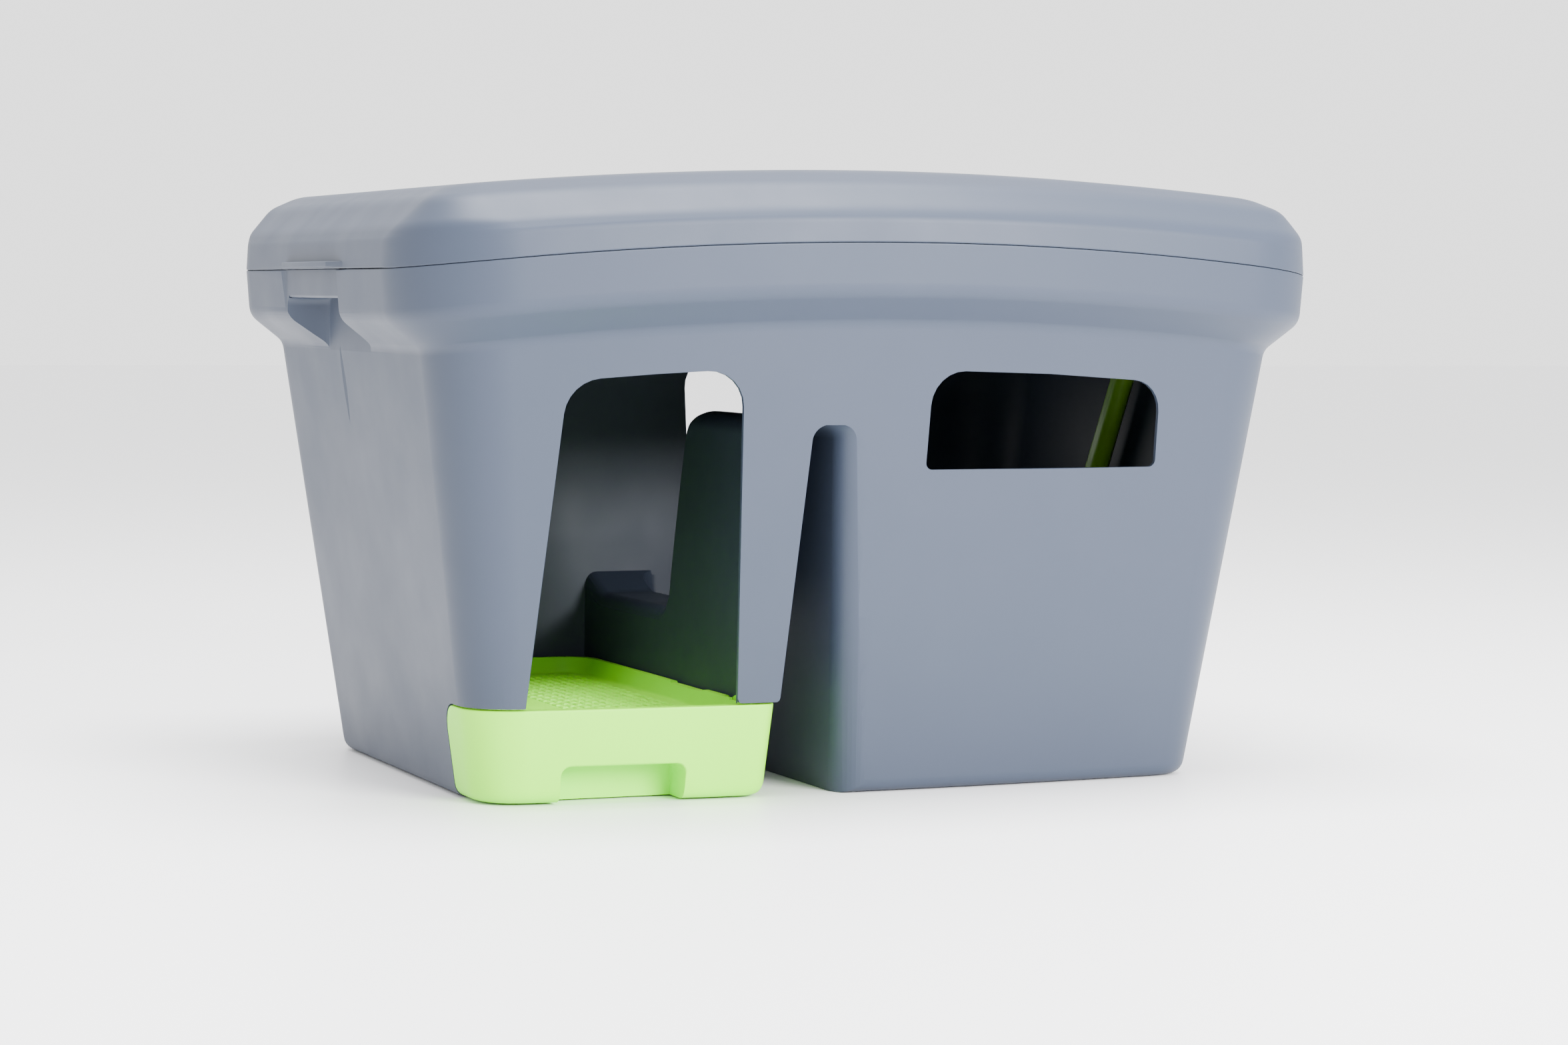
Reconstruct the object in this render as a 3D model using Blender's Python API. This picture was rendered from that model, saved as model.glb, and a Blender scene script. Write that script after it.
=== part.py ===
"""Covered cat litter box: a two-legged tub, its lid, the entry drawer with a grid insert, and a scoop.

Metres, +Z up. The origin is at the centre of the base. +X runs along the length towards the litter
chamber, and -Y is the front, where the entry and the drawer are. Every wall is drafted, the long
sides are bowed in plan, and the rim rises to the middle of the long sides like a shallow arch.
"""

import math
from collections import namedtuple

import bmesh
import bpy
from mathutils import Matrix, Vector

# Rim, at the line where the lid meets the tub
RIM_LENGTH = 0.700
RIM_DEPTH = 0.547
RIM_BOW = 0.0275
REAR_BOW = 0.004
RIM_RADIUS = 0.085
RIM_ARCH = 0.021
BAND_HEIGHT = 0.034
BAND_INSET = 0.0025
CHAMFER_HEIGHT = 0.020

# Tub walls
WALL = 0.003
WALL_HEIGHT = 0.315
WALL_TOP_INSET = 0.0275
WALL_TOP_BOW = 0.026
WALL_TOP_RADIUS = 0.056
WALL_TOP_ARCH = 0.020
BASE_INSET_LENGTH = 0.072
BASE_INSET_FRONT = 0.0870
BASE_INSET_REAR = 0.068
BASE_BOW = 0.0144
BASE_RADIUS = 0.034
BASE_EDGE_RADIUS = 0.009
BASE_EDGE_CURVE = ((0.0, 0.85), (0.25, 0.35), (1.0, 0.0))
SMALLEST_RADIUS = 0.003

# Slot between the two legs
SLOT_X_BASE = -0.0435
SLOT_X_TOP = -0.0465
SLOT_WIDTH_BASE = 0.054
SLOT_WIDTH_TOP = 0.021
SLOT_ROOF_DROP = 0.051
SLOT_CORNER_RADIUS = 0.022

# Passage over the sill at the rear of the partition
SILL_HEIGHT = 0.116
PASSAGE_FRONT_Y = 0.0045
PASSAGE_SLOPE = 0.029
PASSAGE_TOP_RADIUS = 0.030
PASSAGE_SILL_RADIUS = 0.020
SILL_FLARE_LENGTH = 0.034
SILL_FLARE_RISE = 0.014
SILL_FLARE_RADIUS = 0.030

# Entry opening over the drawer
POST_WIDTH = 0.031
ENTRY_OUTER_MARGIN = 0.037
ENTRY_TAPER_OUTER = 0.016
ENTRY_TAPER_POST = 0.013
ENTRY_TOP_DROP = 0.0298
ENTRY_CORNER_RADIUS = 0.026
ENTRY_OVERLAP = 0.010

# Windows, of one shape in the front and the rear wall
WINDOW_FROM_SLOT = 0.066
REAR_WINDOW_FROM_SLOT = 0.0605
WINDOW_LENGTH = 0.186
WINDOW_TAPER = 0.002
WINDOW_HEIGHT = 0.0503
WINDOW_TOP_DROP = 0.0327
WINDOW_TOP_RADIUS = 0.024
WINDOW_BOTTOM_RADIUS = 0.005

# Hand recess in each end of the rim
RECESS_Y_FRONT = -0.060
RECESS_Y_REAR = 0.081
RECESS_DEPTH = 0.028
RECESS_CORNER_RADIUS = 0.018
RECESS_ROOF = 0.007
RECESS_SILL_DROP = 0.015
RECESS_SKIN_DROP = 0.030
GRIP_HEIGHT = 0.020
GRIP_THICKNESS = 0.006
GRIP_SET_BACK = 0.0015
GRIP_SHOULDER = 0.012

# Drawer bay in the front of the left leg
BAY_HEIGHT = 0.0685
BAY_DEPTH = 0.0702
BAY_CORNER_RADIUS = 0.020

# Drawer
DRAWER_GAP = 0.0012
DRAWER_CLEARANCE = 0.0025
DRAWER_REAR_CLEARANCE = 0.013
DRAWER_WALL = 0.0025
DRAWER_LIFT = 0.0008
DRAWER_BODY_HEIGHT = 0.0611
DRAWER_REAR_RADIUS = 0.024
DRAWER_CORNER_RADIUS = 0.0145
NOTCH_LEFT_OF_POST = 0.1245
NOTCH_WIDTH = 0.0895
NOTCH_HEIGHT = 0.027
NOTCH_DEPTH = 0.026
NOTCH_RADIUS = 0.007

# Grid insert on the drawer
GRID_RIM = 0.0035
GRID_DEPTH = 0.0120
GRID_FLOOR = 0.0025
GRID_DRAFT = 0.0040
GRID_PLAY = 0.0012
GRID_LIP_WIDTH = 0.0015

# Lid
LID_BAND_HEIGHT = 0.019
LID_BAND_INSET = 0.001
LID_SHOULDER_RISE = 0.0375
LID_SHOULDER_INSET = 0.042
LID_SHOULDER_CURVE = ((0.0, 0.0), (0.105, 0.227), (0.33, 0.48), (0.55, 0.75), (1.0, 1.0))
LID_TOP_RISE = 0.002
LID_TOP_INSET = 0.020
LID_TOP_ARCH = 0.013
LID_WALL = 0.003
LID_LIP_DEPTH = 0.009
LID_LIP_PLAY = 0.0012
LID_WEB_RISE = 0.0048
LEDGE_Y_FRONT = -0.068
LEDGE_Y_REAR = 0.073
LEDGE_REACH = 0.007
LEDGE_HEIGHT = 0.0045
LEDGE_LIFT = 0.0009
LEDGE_SLANT = 0.0098
LEDGE_ROOT = 0.0018

# Scoop, and the peg that it hangs on
PEG_RADIUS = 0.004
PEG_LENGTH = 0.022
PEG_Y = -0.0145
PEG_DROP = 0.036
SCOOP_GRIP_LENGTH = 0.128
SCOOP_NECK_LENGTH = 0.024
SCOOP_GRIP_WIDTH = 0.022
SCOOP_GRIP_THICKNESS = 0.017
SCOOP_COLLAR = 0.0015
SCOOP_EYE_RADIUS = 0.0065
SCOOP_HEAD_LENGTH = 0.115
SCOOP_HEAD_WIDTH = 0.100
SCOOP_HEAD_DEPTH = 0.026
SCOOP_WALL = 0.0025
SCOOP_SLOTS = 7
SCOOP_SLOT_WIDTH = 0.007
SCOOP_TILT = math.radians(17)
SCOOP_LEAN = math.radians(8.5)

# Clearance between faces that rest on each other, and how far a cutter passes the face that it cuts
SEAT = 0.0004
RIM_SLOPE_ANGLE = math.radians(22)
WALL_MIDDLE_SHARE = 0.6
SLOPED_WALL_SHARE = 1.03
PAST = 0.010

# How finely the curves are cut
CORNER_STEPS = 7
SIDE_STEPS = 12
INNER_SIDE_STEPS = 13
LIP_SIDE_STEPS = 11
SMALL_STEPS = 4
FAR = 0.45

GREY = (0.30, 0.33, 0.38, 1.0)
LIME = (0.62, 0.88, 0.32, 1.0)
GREEN = (0.34, 0.68, 0.08, 1.0)

SIDES = ((-1, "left"), (1, "right"))
Level = namedtuple("Level", "z half_length front bow rear rear_bow radius arch")


def collection(name, hidden=False):
    made = bpy.data.collections.new(name)
    bpy.context.scene.collection.children.link(made)
    made.hide_render = hidden
    return made


def plastic(name, colour, roughness):
    material = bpy.data.materials.new(name)
    material.use_nodes = True
    shader = material.node_tree.nodes["Principled BSDF"]
    shader.inputs["Base Color"].default_value = colour
    shader.inputs["Roughness"].default_value = roughness
    shader.inputs["Metallic"].default_value = 0.0
    return material


def add_object(name, mesh_data, group, material=None):
    made = bpy.data.objects.new(name, mesh_data)
    group.objects.link(made)
    if material:
        made.data.materials.append(material)
    else:
        made.hide_render = True
        made.display_type = "WIRE"
    return made


def boolean(target, cutter, operation="DIFFERENCE", solver="EXACT"):
    made = target.modifiers.new(f"{operation.title()} {cutter.name}", "BOOLEAN")
    made.operation = operation
    made.solver = solver
    made.object = cutter
    return made


def bowed_y(x, half_length, depth, bow):
    """How far out a bowed wall is at x. depth is at its middle, and bow is how much its ends draw in."""
    return depth - bow * (x / half_length) ** 2


def corner_arc(x_edge, side, radius, half_length, depth, bow, steps):
    """The rounded corner between a bowed front and the end at x_edge; side is 1 or -1."""
    centre_x = x_edge - side * radius
    touch = centre_x
    angle = 0.0
    for _ in range(6):
        angle = math.atan(2 * bow * touch / half_length**2)
        touch = centre_x + radius * math.sin(angle)
    centre_y = radius * math.cos(angle) - bowed_y(touch, half_length, depth, bow)
    first = -math.pi / 2 + angle
    last = 0.0 if side > 0 else -math.pi
    turns = [first + (last - first) * i / steps for i in range(steps + 1)]
    return [(centre_x + radius * math.cos(a), centre_y + radius * math.sin(a)) for a in turns]


def bowed_side(x_min, x_max, radius_min, radius_max, half_length, depth, bow, steps, side_steps):
    """A bowed front with a rounded corner at each end, from left to right."""
    left = corner_arc(x_min, -1, radius_min, half_length, depth, bow, steps)[::-1]
    right = corner_arc(x_max, 1, radius_max, half_length, depth, bow, steps)
    start = left[-1][0]
    span = right[0][0] - start
    middle = []
    for i in range(1, side_steps):
        x = start + span * i / side_steps
        middle.append((x, -bowed_y(x, half_length, depth, bow)))
    return left + middle + right


def bowed_outline(x_min, x_max, radius_min, radii_max, level, steps=CORNER_STEPS, side_steps=SIDE_STEPS):
    """The front from left to right, then the rear back again; radii_max are the front and rear one."""
    shapes = (radii_max[0], level.front, level.bow), (radii_max[1], level.rear, level.rear_bow)
    front, rear = [
        bowed_side(x_min, x_max, radius_min, radius, level.half_length, depth, bow, steps, side_steps)
        for radius, depth, bow in shapes
    ]
    return front + [(x, -y) for x, y in reversed(rear)]


def ring(level, outline=None, side_steps=SIDE_STEPS):
    """A level's outline as points, lifted by the arch of its height.

    Surfaces that cut each other take different side steps, so that their edges don't meet head on.
    """
    if outline is None:
        half = level.half_length
        radii = (level.radius, level.radius)
        outline = bowed_outline(-half, half, level.radius, radii, level, side_steps=side_steps)
    return [
        Vector((x, y, level.z + level.arch * (1 - (x / level.half_length) ** 2)))
        for x, y in outline
    ]


def loft_mesh(name, rings, caps="strips"):
    """Joins rings of equal count from the lowest up. Its twisted quads are split into triangles.

    An arched ring is capped by strips from front to rear, and a level one by a single "flat" face.
    A "closed" loft joins its last ring to its first, like a hoop.
    """
    shape = bmesh.new()
    rows = [[shape.verts.new(point) for point in points] for points in rings]
    count = len(rows[0])
    pairs = list(zip(rows, rows[1:]))
    if caps == "closed":
        pairs.append((rows[-1], rows[0]))
    for low, high in pairs:
        for i in range(count):
            j = (i + 1) % count
            shape.faces.new((low[i], low[j], high[j], high[i]))
    if caps == "flat":
        shape.faces.new(rows[0][::-1])
        shape.faces.new(rows[-1])
    if caps == "strips":
        for i in range(count // 2 - 1):
            strip = (i, i + 1, count - 2 - i, count - 1 - i)
            shape.faces.new([rows[0][k] for k in reversed(strip)])
            shape.faces.new([rows[-1][k] for k in strip])
    bmesh.ops.triangulate(shape, faces=[face for face in shape.faces if len(face.verts) == 4])
    bmesh.ops.recalc_face_normals(shape, faces=shape.faces)
    made = bpy.data.meshes.new(name)
    shape.to_mesh(made)
    shape.free()
    return made


def rounded(corners, steps=SMALL_STEPS):
    """A closed outline from (a, b, radius) corners, each rounded by an arc of its own radius."""
    points = []
    for i, (a, b, radius) in enumerate(corners):
        here = Vector((a, b))
        if radius == 0:
            points.append((a, b))
            continue
        before = (Vector(corners[i - 1][:2]) - here).normalized()
        after = (Vector(corners[(i + 1) % len(corners)][:2]) - here).normalized()
        half_angle = before.angle(after) / 2
        reach = radius / math.tan(half_angle)
        centre = here + (before + after).normalized() * (radius / math.sin(half_angle))
        start = here + before * reach - centre
        turn = start.angle_signed(here + after * reach - centre)
        for k in range(steps + 1):
            spun = Matrix.Rotation(-turn * k / steps, 2) @ start
            points.append(tuple(centre + spun))
    return points


def prism_mesh(name, outline, axis, low, high):
    """Extrudes an outline along X, Y or Z; the outline is in the other two, in alphabetical order."""
    place = {
        "X": lambda a, b: (low, a, b),
        "Y": lambda a, b: (a, low, b),
        "Z": lambda a, b: (a, b, low),
    }[axis]
    reach = [0.0, 0.0, 0.0]
    reach["XYZ".index(axis)] = high - low
    shape = bmesh.new()
    face = shape.faces.new([shape.verts.new(place(a, b)) for a, b in outline])
    grown = bmesh.ops.extrude_face_region(shape, geom=[face])
    moved = [item for item in grown["geom"] if isinstance(item, bmesh.types.BMVert)]
    bmesh.ops.translate(shape, verts=moved, vec=reach)
    bmesh.ops.recalc_face_normals(shape, faces=shape.faces)
    made = bpy.data.meshes.new(name)
    shape.to_mesh(made)
    shape.free()
    return made


def box_outline(a_low, a_high, b_low, b_high):
    return [(a_low, b_low), (a_high, b_low), (a_high, b_high), (a_low, b_high)]


def mix(low, high, share):
    return low + (high - low) * share


# Levels of the tub, from the base up to the rim

HALF_LENGTH = RIM_LENGTH / 2
HALF_DEPTH = RIM_DEPTH / 2
RIM_HEIGHT = WALL_HEIGHT + CHAMFER_HEIGHT + BAND_HEIGHT
CREASE_HEIGHT = WALL_HEIGHT + CHAMFER_HEIGHT


def wall_level(z, inward=0.0):
    """The tub's wall at a height, or a surface that lies inward of it."""
    share = z / WALL_HEIGHT
    return Level(
        z,
        HALF_LENGTH - mix(BASE_INSET_LENGTH, WALL_TOP_INSET, share) - inward,
        HALF_DEPTH - mix(BASE_INSET_FRONT, WALL_TOP_INSET, share) - inward,
        mix(BASE_BOW, WALL_TOP_BOW, share),
        HALF_DEPTH - mix(BASE_INSET_REAR, WALL_TOP_INSET, share) - inward,
        REAR_BOW,
        max(mix(BASE_RADIUS, WALL_TOP_RADIUS, share) - inward, SMALLEST_RADIUS),
        0.0,
    )


def base_levels(bottom, inward=0.0, edge=BASE_EDGE_RADIUS):
    """The rounded bottom edge, as three levels."""
    levels = []
    for turn in (math.radians(80), math.radians(38), 0.0):
        drop = edge * (1 - math.cos(turn))
        rise = edge * (1 - math.sin(turn))
        levels.append(wall_level(bottom + rise, inward + drop)._replace(z=bottom + rise))
    return [levels[0]._replace(z=bottom), *levels[1:]]


def rim_level(z, inset, arch=RIM_ARCH):
    """The rim's outline, or one that lies inside it, at a height."""
    return Level(
        z,
        HALF_LENGTH - inset,
        HALF_DEPTH - inset,
        RIM_BOW,
        HALF_DEPTH - inset,
        REAR_BOW,
        max(RIM_RADIUS - inset, SMALLEST_RADIUS),
        arch,
    )


def rim_levels(inward=0.0):
    """Wall top, crease and parting line. An inner surface meets the slopes a little higher."""
    lift = inward * math.tan(RIM_SLOPE_ANGLE)
    wall_top = wall_level(WALL_HEIGHT, inward)._replace(z=WALL_HEIGHT + lift, arch=WALL_TOP_ARCH)
    crease = rim_level(CREASE_HEIGHT + lift, BAND_INSET + inward)
    return [wall_top, crease, rim_level(RIM_HEIGHT, inward)]


def tub_levels():
    return [*base_levels(0.0), wall_level(WALL_HEIGHT * WALL_MIDDLE_SHARE), *rim_levels()]


def cavity_levels():
    above = rim_levels(WALL)[-1]._replace(z=RIM_HEIGHT + RIM_ARCH + PAST)
    return [
        *base_levels(WALL, WALL, BASE_EDGE_RADIUS - WALL),
        wall_level(WALL_HEIGHT * WALL_MIDDLE_SHARE, WALL),
        *rim_levels(WALL),
        above,
    ]


# Slot and partition

SLOT_ROOF = WALL_HEIGHT - SLOT_ROOF_DROP
PARTITION_TOP = SLOT_ROOF + WALL


def slot_edges(z):
    """Left and right x of the slot at a height."""
    share = z / SLOT_ROOF
    centre = mix(SLOT_X_BASE, SLOT_X_TOP, share)
    half = mix(SLOT_WIDTH_BASE, SLOT_WIDTH_TOP, share) / 2
    return centre - half, centre + half


def slot_outline(z, left, right, corner_x, grow):
    """The slot in plan. Its right side flares round the corner of the right leg, front and rear."""
    face = wall_level(z)
    radius = SLOT_CORNER_RADIUS - grow
    last = math.radians(72)
    flares = []
    for depth in (face.front, face.rear):
        corner_y = depth - SLOT_CORNER_RADIUS
        arc = []
        for i in range(SMALL_STEPS + 1):
            turn = last * i / SMALL_STEPS
            x = corner_x - radius * math.cos(turn)
            arc.append((max(x, right), corner_y + radius * math.sin(turn)))
        flares.append([*arc, (arc[-1][0], FAR)])
    front = [(x, -y) for x, y in reversed(flares[0])]
    return [(left, -FAR), *front, *flares[1], (left, FAR)]


def slot_mesh(name, grow=0.0):
    """The slot's void, or the partition round it when it grows by a wall."""
    roof = SLOT_ROOF + grow
    top_radius = SLOT_WIDTH_TOP / 2 + grow
    heights = [(-PAST, 1.0), (0.0, 1.0), (mix(0, roof - top_radius, 0.5), 1.0)]
    for i in range(SMALL_STEPS + 1):
        turn = math.radians(78) * i / SMALL_STEPS
        heights.append((roof - top_radius * (1 - math.sin(turn)), math.cos(turn)))
    rings = []
    for z, share in heights:
        left, right = slot_edges(z)
        centre = (left + right) / 2
        left = centre + (left - grow - centre) * share
        right_edge = centre + (right + grow - centre) * share
        corner_x = right + SLOT_CORNER_RADIUS
        corner_x -= (1 - share) * (right + grow - centre)
        outline = slot_outline(max(z, 0.0), left, right_edge, corner_x, grow)
        rings.append([Vector((x, y, z)) for x, y in outline])
    rings[-1] = [Vector((point.x, point.y, roof)) for point in rings[-1]]
    return loft_mesh(name, rings, "flat")


def passage_outline(grow=0.0):
    """Side view of the partition: tall at the front, then sloping down to the sill at the rear."""
    top = SLOT_ROOF + grow
    sill = SILL_HEIGHT - WALL + grow
    back = (grow - WALL) * SLOPED_WALL_SHARE
    slope = PASSAGE_SLOPE / (PARTITION_TOP - SILL_HEIGHT)
    y_top = PASSAGE_FRONT_Y + back + (PARTITION_TOP - top) * slope
    y_sill = PASSAGE_FRONT_Y + back + (PARTITION_TOP - sill) * slope
    y_end = FAR + PAST
    y_flare = wall_level(SILL_HEIGHT, WALL).rear - SILL_FLARE_LENGTH
    flared = sill + SILL_FLARE_RISE * (y_end - y_flare) / SILL_FLARE_LENGTH
    return rounded(
        [
            (-y_end, -2 * PAST, 0),
            (y_end, -2 * PAST, 0),
            (y_end, flared, 0),
            (y_flare, sill, SILL_FLARE_RADIUS),
            (y_sill, sill, PASSAGE_SILL_RADIUS + WALL - grow),
            (y_top, top + SEAT, PASSAGE_TOP_RADIUS - WALL + grow),
            (-y_end, top + SEAT, 0),
        ],
        steps=5,
    )


def slot_void(cutters, grow=0.0):
    label = "partition" if grow else "slot"
    void = add_object(f"{label}_void", slot_mesh(f"{label}_void", grow), cutters)
    side = prism_mesh(f"{label}_side", passage_outline(grow), "X", -FAR, FAR)
    boolean(void, add_object(f"{label}_side", side, cutters), "INTERSECT")
    return void


# Openings of the tub


def arch_rise(x):
    """How far an opening's top edge follows the arch at x."""
    half = HALF_LENGTH - WALL_TOP_INSET
    return WALL_TOP_ARCH * (1 - (x / half) ** 2)


def arched_opening(left_low, right_low, left_top, right_top, low, top, top_radius, low_radius):
    """An opening's front view: straight sides and a top edge that follows the arch."""
    crown = (left_top + right_top) / 2
    return rounded(
        [
            (left_low, low, low_radius),
            (right_low, low, low_radius),
            (right_top, top + arch_rise(right_top), top_radius),
            (crown, top + arch_rise(crown), 0),
            (left_top, top + arch_rise(left_top), top_radius),
        ],
        steps=6,
    )


def entry_sides():
    """x of the entry's edges where it meets the drawer bay."""
    outer = -wall_level(BAY_HEIGHT).half_length + ENTRY_OUTER_MARGIN
    post = slot_edges(BAY_HEIGHT)[0] - POST_WIDTH
    return outer, post


def entry_cutter(cutters):
    outer, post = entry_sides()
    outline = arched_opening(
        outer,
        post,
        outer + ENTRY_TAPER_OUTER,
        post - ENTRY_TAPER_POST,
        BAY_HEIGHT - ENTRY_OVERLAP,
        WALL_HEIGHT - ENTRY_TOP_DROP,
        ENTRY_CORNER_RADIUS,
        0,
    )
    return add_object("entry_cut", prism_mesh("entry_cut", outline, "Y", -FAR, -FAR / 4), cutters)


def window_cutter(name, from_slot, y_low, y_high, cutters):
    left = slot_edges(SLOT_ROOF)[1] + from_slot
    right = left + WINDOW_LENGTH
    top = WALL_HEIGHT - WINDOW_TOP_DROP
    outline = arched_opening(
        left,
        right,
        left,
        right - WINDOW_TAPER,
        top - WINDOW_HEIGHT,
        top,
        WINDOW_TOP_RADIUS,
        WINDOW_BOTTOM_RADIUS,
    )
    return add_object(name, prism_mesh(name, outline, "Y", y_low, y_high), cutters)


def bay_rear():
    """y of the bay's rear edge, measured back from the front corner of the base."""
    return BAY_DEPTH - wall_level(0.0).front


def bay_outline(gap=0.0):
    """Side view of the drawer bay, or of the drawer's front inside it when a gap is taken off."""
    y_rear = bay_rear() - gap
    return rounded(
        [
            (-FAR, -PAST, 0),
            (y_rear, -PAST, 0),
            (y_rear, BAY_HEIGHT - gap, BAY_CORNER_RADIUS),
            (-FAR, BAY_HEIGHT - gap, 0),
        ]
    )


def bay_cutter(cutters):
    mesh = prism_mesh("bay_cut", bay_outline(), "X", -FAR, SLOT_X_BASE)
    return add_object("bay_cut", mesh, cutters)


def recess_plan(side, x_inner, x_outer, y_low, y_high):
    """A hand recess in plan, with rounded inner corners; side is 1 or -1."""
    corners = [
        (side * x_outer, y_low, 0),
        (side * x_outer, y_high, 0),
        (side * x_inner, y_high, RECESS_CORNER_RADIUS),
        (side * x_inner, y_low, RECESS_CORNER_RADIUS),
    ]
    return rounded(corners if side > 0 else corners[::-1])


def recess_cutters(side, label, cutters):
    """The opening below the grip, the finger gap up behind it, and the grip's set-back face."""
    back = HALF_LENGTH - RECESS_DEPTH
    grip_back = HALF_LENGTH - GRIP_SET_BACK - GRIP_THICKNESS
    grip_low = RIM_HEIGHT - GRIP_HEIGHT
    sill = WALL_HEIGHT - RECESS_SILL_DROP
    roof = RIM_HEIGHT - RECESS_ROOF
    face = sorted((side * (HALF_LENGTH - GRIP_SET_BACK), side * FAR))
    y_low = RECESS_Y_FRONT
    y_high = RECESS_Y_REAR
    set_back = box_outline(*face, y_low - SEAT, y_high + GRIP_SHOULDER)
    below = recess_plan(side, back, FAR, y_low, y_high)
    behind = recess_plan(side, back + SEAT, grip_back, y_low + SEAT, y_high - SEAT)
    meshes = {
        "recess": prism_mesh("", below, "Z", sill, grip_low),
        "gap": prism_mesh("", behind, "Z", sill + PAST, roof),
        "face": prism_mesh("", set_back, "Z", grip_low - PAST / 2, RIM_HEIGHT + RIM_ARCH),
    }
    return [add_object(f"{label}_{name}", mesh, cutters) for name, mesh in meshes.items()]


def recess_block_mesh(side):
    """The space that the skin round a hand recess keeps out of the tub's cavity."""
    inner = HALF_LENGTH - RECESS_DEPTH - WALL
    outline = box_outline(*sorted((side * inner, side * FAR)), RECESS_Y_FRONT - WALL, RECESS_Y_REAR + WALL)
    return prism_mesh("", outline, "Z", WALL_HEIGHT - RECESS_SKIN_DROP, RIM_HEIGHT + RIM_ARCH + 2 * PAST)


def peg_centre():
    return Vector((HALF_LENGTH - RECESS_DEPTH - WALL, PEG_Y, RIM_HEIGHT - PEG_DROP))


def peg_cutter(cutters):
    """The scoop's peg, which the tub keeps as part of its moulding."""
    centre = peg_centre()
    shape = bmesh.new()
    bmesh.ops.create_cone(
        shape,
        cap_ends=True,
        segments=16,
        radius1=PEG_RADIUS,
        radius2=PEG_RADIUS * 0.9,
        depth=PEG_LENGTH + WALL / 2,
    )
    turn = Matrix.Rotation(-math.pi / 2, 4, "Y")
    place = Matrix.Translation(centre + Vector(((WALL / 2 - PEG_LENGTH) / 2, 0, 0)))
    bmesh.ops.transform(shape, matrix=place @ turn, verts=shape.verts)
    mesh = bpy.data.meshes.new("peg_add")
    shape.to_mesh(mesh)
    shape.free()
    return add_object("peg_add", mesh, cutters)


def make_tub(parts, cutters, material):
    tub = add_object("tub", loft_mesh("tub", [ring(level) for level in tub_levels()]), parts, material)
    cavity_rings = [ring(level, side_steps=INNER_SIDE_STEPS) for level in cavity_levels()]
    cavity = add_object("tub_cavity", loft_mesh("tub_cavity", cavity_rings), cutters)
    boolean(cavity, slot_void(cutters, WALL))
    for side, label in SIDES:
        boolean(cavity, add_object(f"{label}_block", recess_block_mesh(side), cutters))
    boolean(tub, cavity)
    boolean(tub, slot_void(cutters))
    for side, label in SIDES:
        for cutter in recess_cutters(side, label, cutters):
            boolean(tub, cutter)
    boolean(tub, entry_cutter(cutters))
    boolean(tub, window_cutter("front_window_cut", WINDOW_FROM_SLOT, -FAR, 0.0, cutters))
    boolean(tub, window_cutter("rear_window_cut", REAR_WINDOW_FROM_SLOT, 0.0, FAR, cutters))
    boolean(tub, bay_cutter(cutters), solver="MANIFOLD")
    boolean(tub, peg_cutter(cutters), "UNION")
    return tub


# Lid


def lid_levels(inward=0.0):
    """From the parting line up over the shoulder to the crowned top, which is arched less."""
    steps = [(0.0, 0.0)]
    for inset, rise in LID_SHOULDER_CURVE:
        steps.append(
            (LID_BAND_INSET + LID_SHOULDER_INSET * inset, LID_BAND_HEIGHT + LID_SHOULDER_RISE * rise)
        )
    steps.append((steps[-1][0] + LID_TOP_INSET, steps[-1][1] + LID_TOP_RISE))
    levels = []
    for inset, rise in steps:
        share = min(1.0, rise / (LID_BAND_HEIGHT + LID_SHOULDER_RISE))
        arch = mix(RIM_ARCH, LID_TOP_ARCH, share)
        levels.append(rim_level(RIM_HEIGHT + SEAT + rise, inset + inward, arch))
    return levels


def lid_inner_rings():
    levels = lid_levels(LID_WALL)
    below = levels[0]._replace(z=levels[0].z - PAST)
    lowered = [
        level._replace(z=level.z - LID_WALL * min(1.0, 0.25 * i))
        for i, level in enumerate(levels)
    ]
    return [ring(level, side_steps=INNER_SIDE_STEPS) for level in (below, *lowered)]


def lip_inset():
    """The lip's outer face stays clear of the tub's band, which draws in as it goes down."""
    return WALL + LID_LIP_PLAY + BAND_INSET * LID_LIP_DEPTH / BAND_HEIGHT


def section_rings(section):
    """Rings through the (inset, rise) corners of a section, measured from the lid's lower edge."""
    rings = []
    for inset, rise in section:
        level = lid_levels(inset)[0]
        rings.append(ring(level._replace(z=level.z + rise), side_steps=LIP_SIDE_STEPS))
    return rings


def lip_rings():
    """Four rings round the lip's section, which locates the lid inside the rim."""
    outer = lip_inset()
    inner = outer + LID_WALL
    up = LID_BAND_HEIGHT * 0.5
    return section_rings([(outer, -LID_LIP_DEPTH), (inner, -LID_LIP_DEPTH), (inner, up), (outer, up)])


def bridge_rings():
    """The web that joins the lip to the lid's wall, a little above the parting line."""
    outer = LID_WALL * 0.5
    inner = lip_inset() + LID_WALL * 0.5
    low = LID_WEB_RISE
    high = low + LID_WALL
    return section_rings([(outer, low), (inner, low), (inner, high), (outer, high)])


def ledge_outline(side):
    """A thumb ledge in plan: straight, with slanted ends that run into the lid."""
    face = HALF_LENGTH - LID_BAND_INSET
    tip = HALF_LENGTH + LEDGE_REACH
    corners = [
        (face - LEDGE_ROOT, LEDGE_Y_FRONT - LEDGE_SLANT),
        (face + SEAT, LEDGE_Y_FRONT - LEDGE_SLANT),
        (tip, LEDGE_Y_FRONT + LEDGE_SLANT),
        (tip, LEDGE_Y_REAR - LEDGE_SLANT),
        (face + SEAT, LEDGE_Y_REAR + LEDGE_SLANT),
        (face - LEDGE_ROOT, LEDGE_Y_REAR + LEDGE_SLANT),
    ]
    return [(side * x, y) for x, y in corners]


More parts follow.
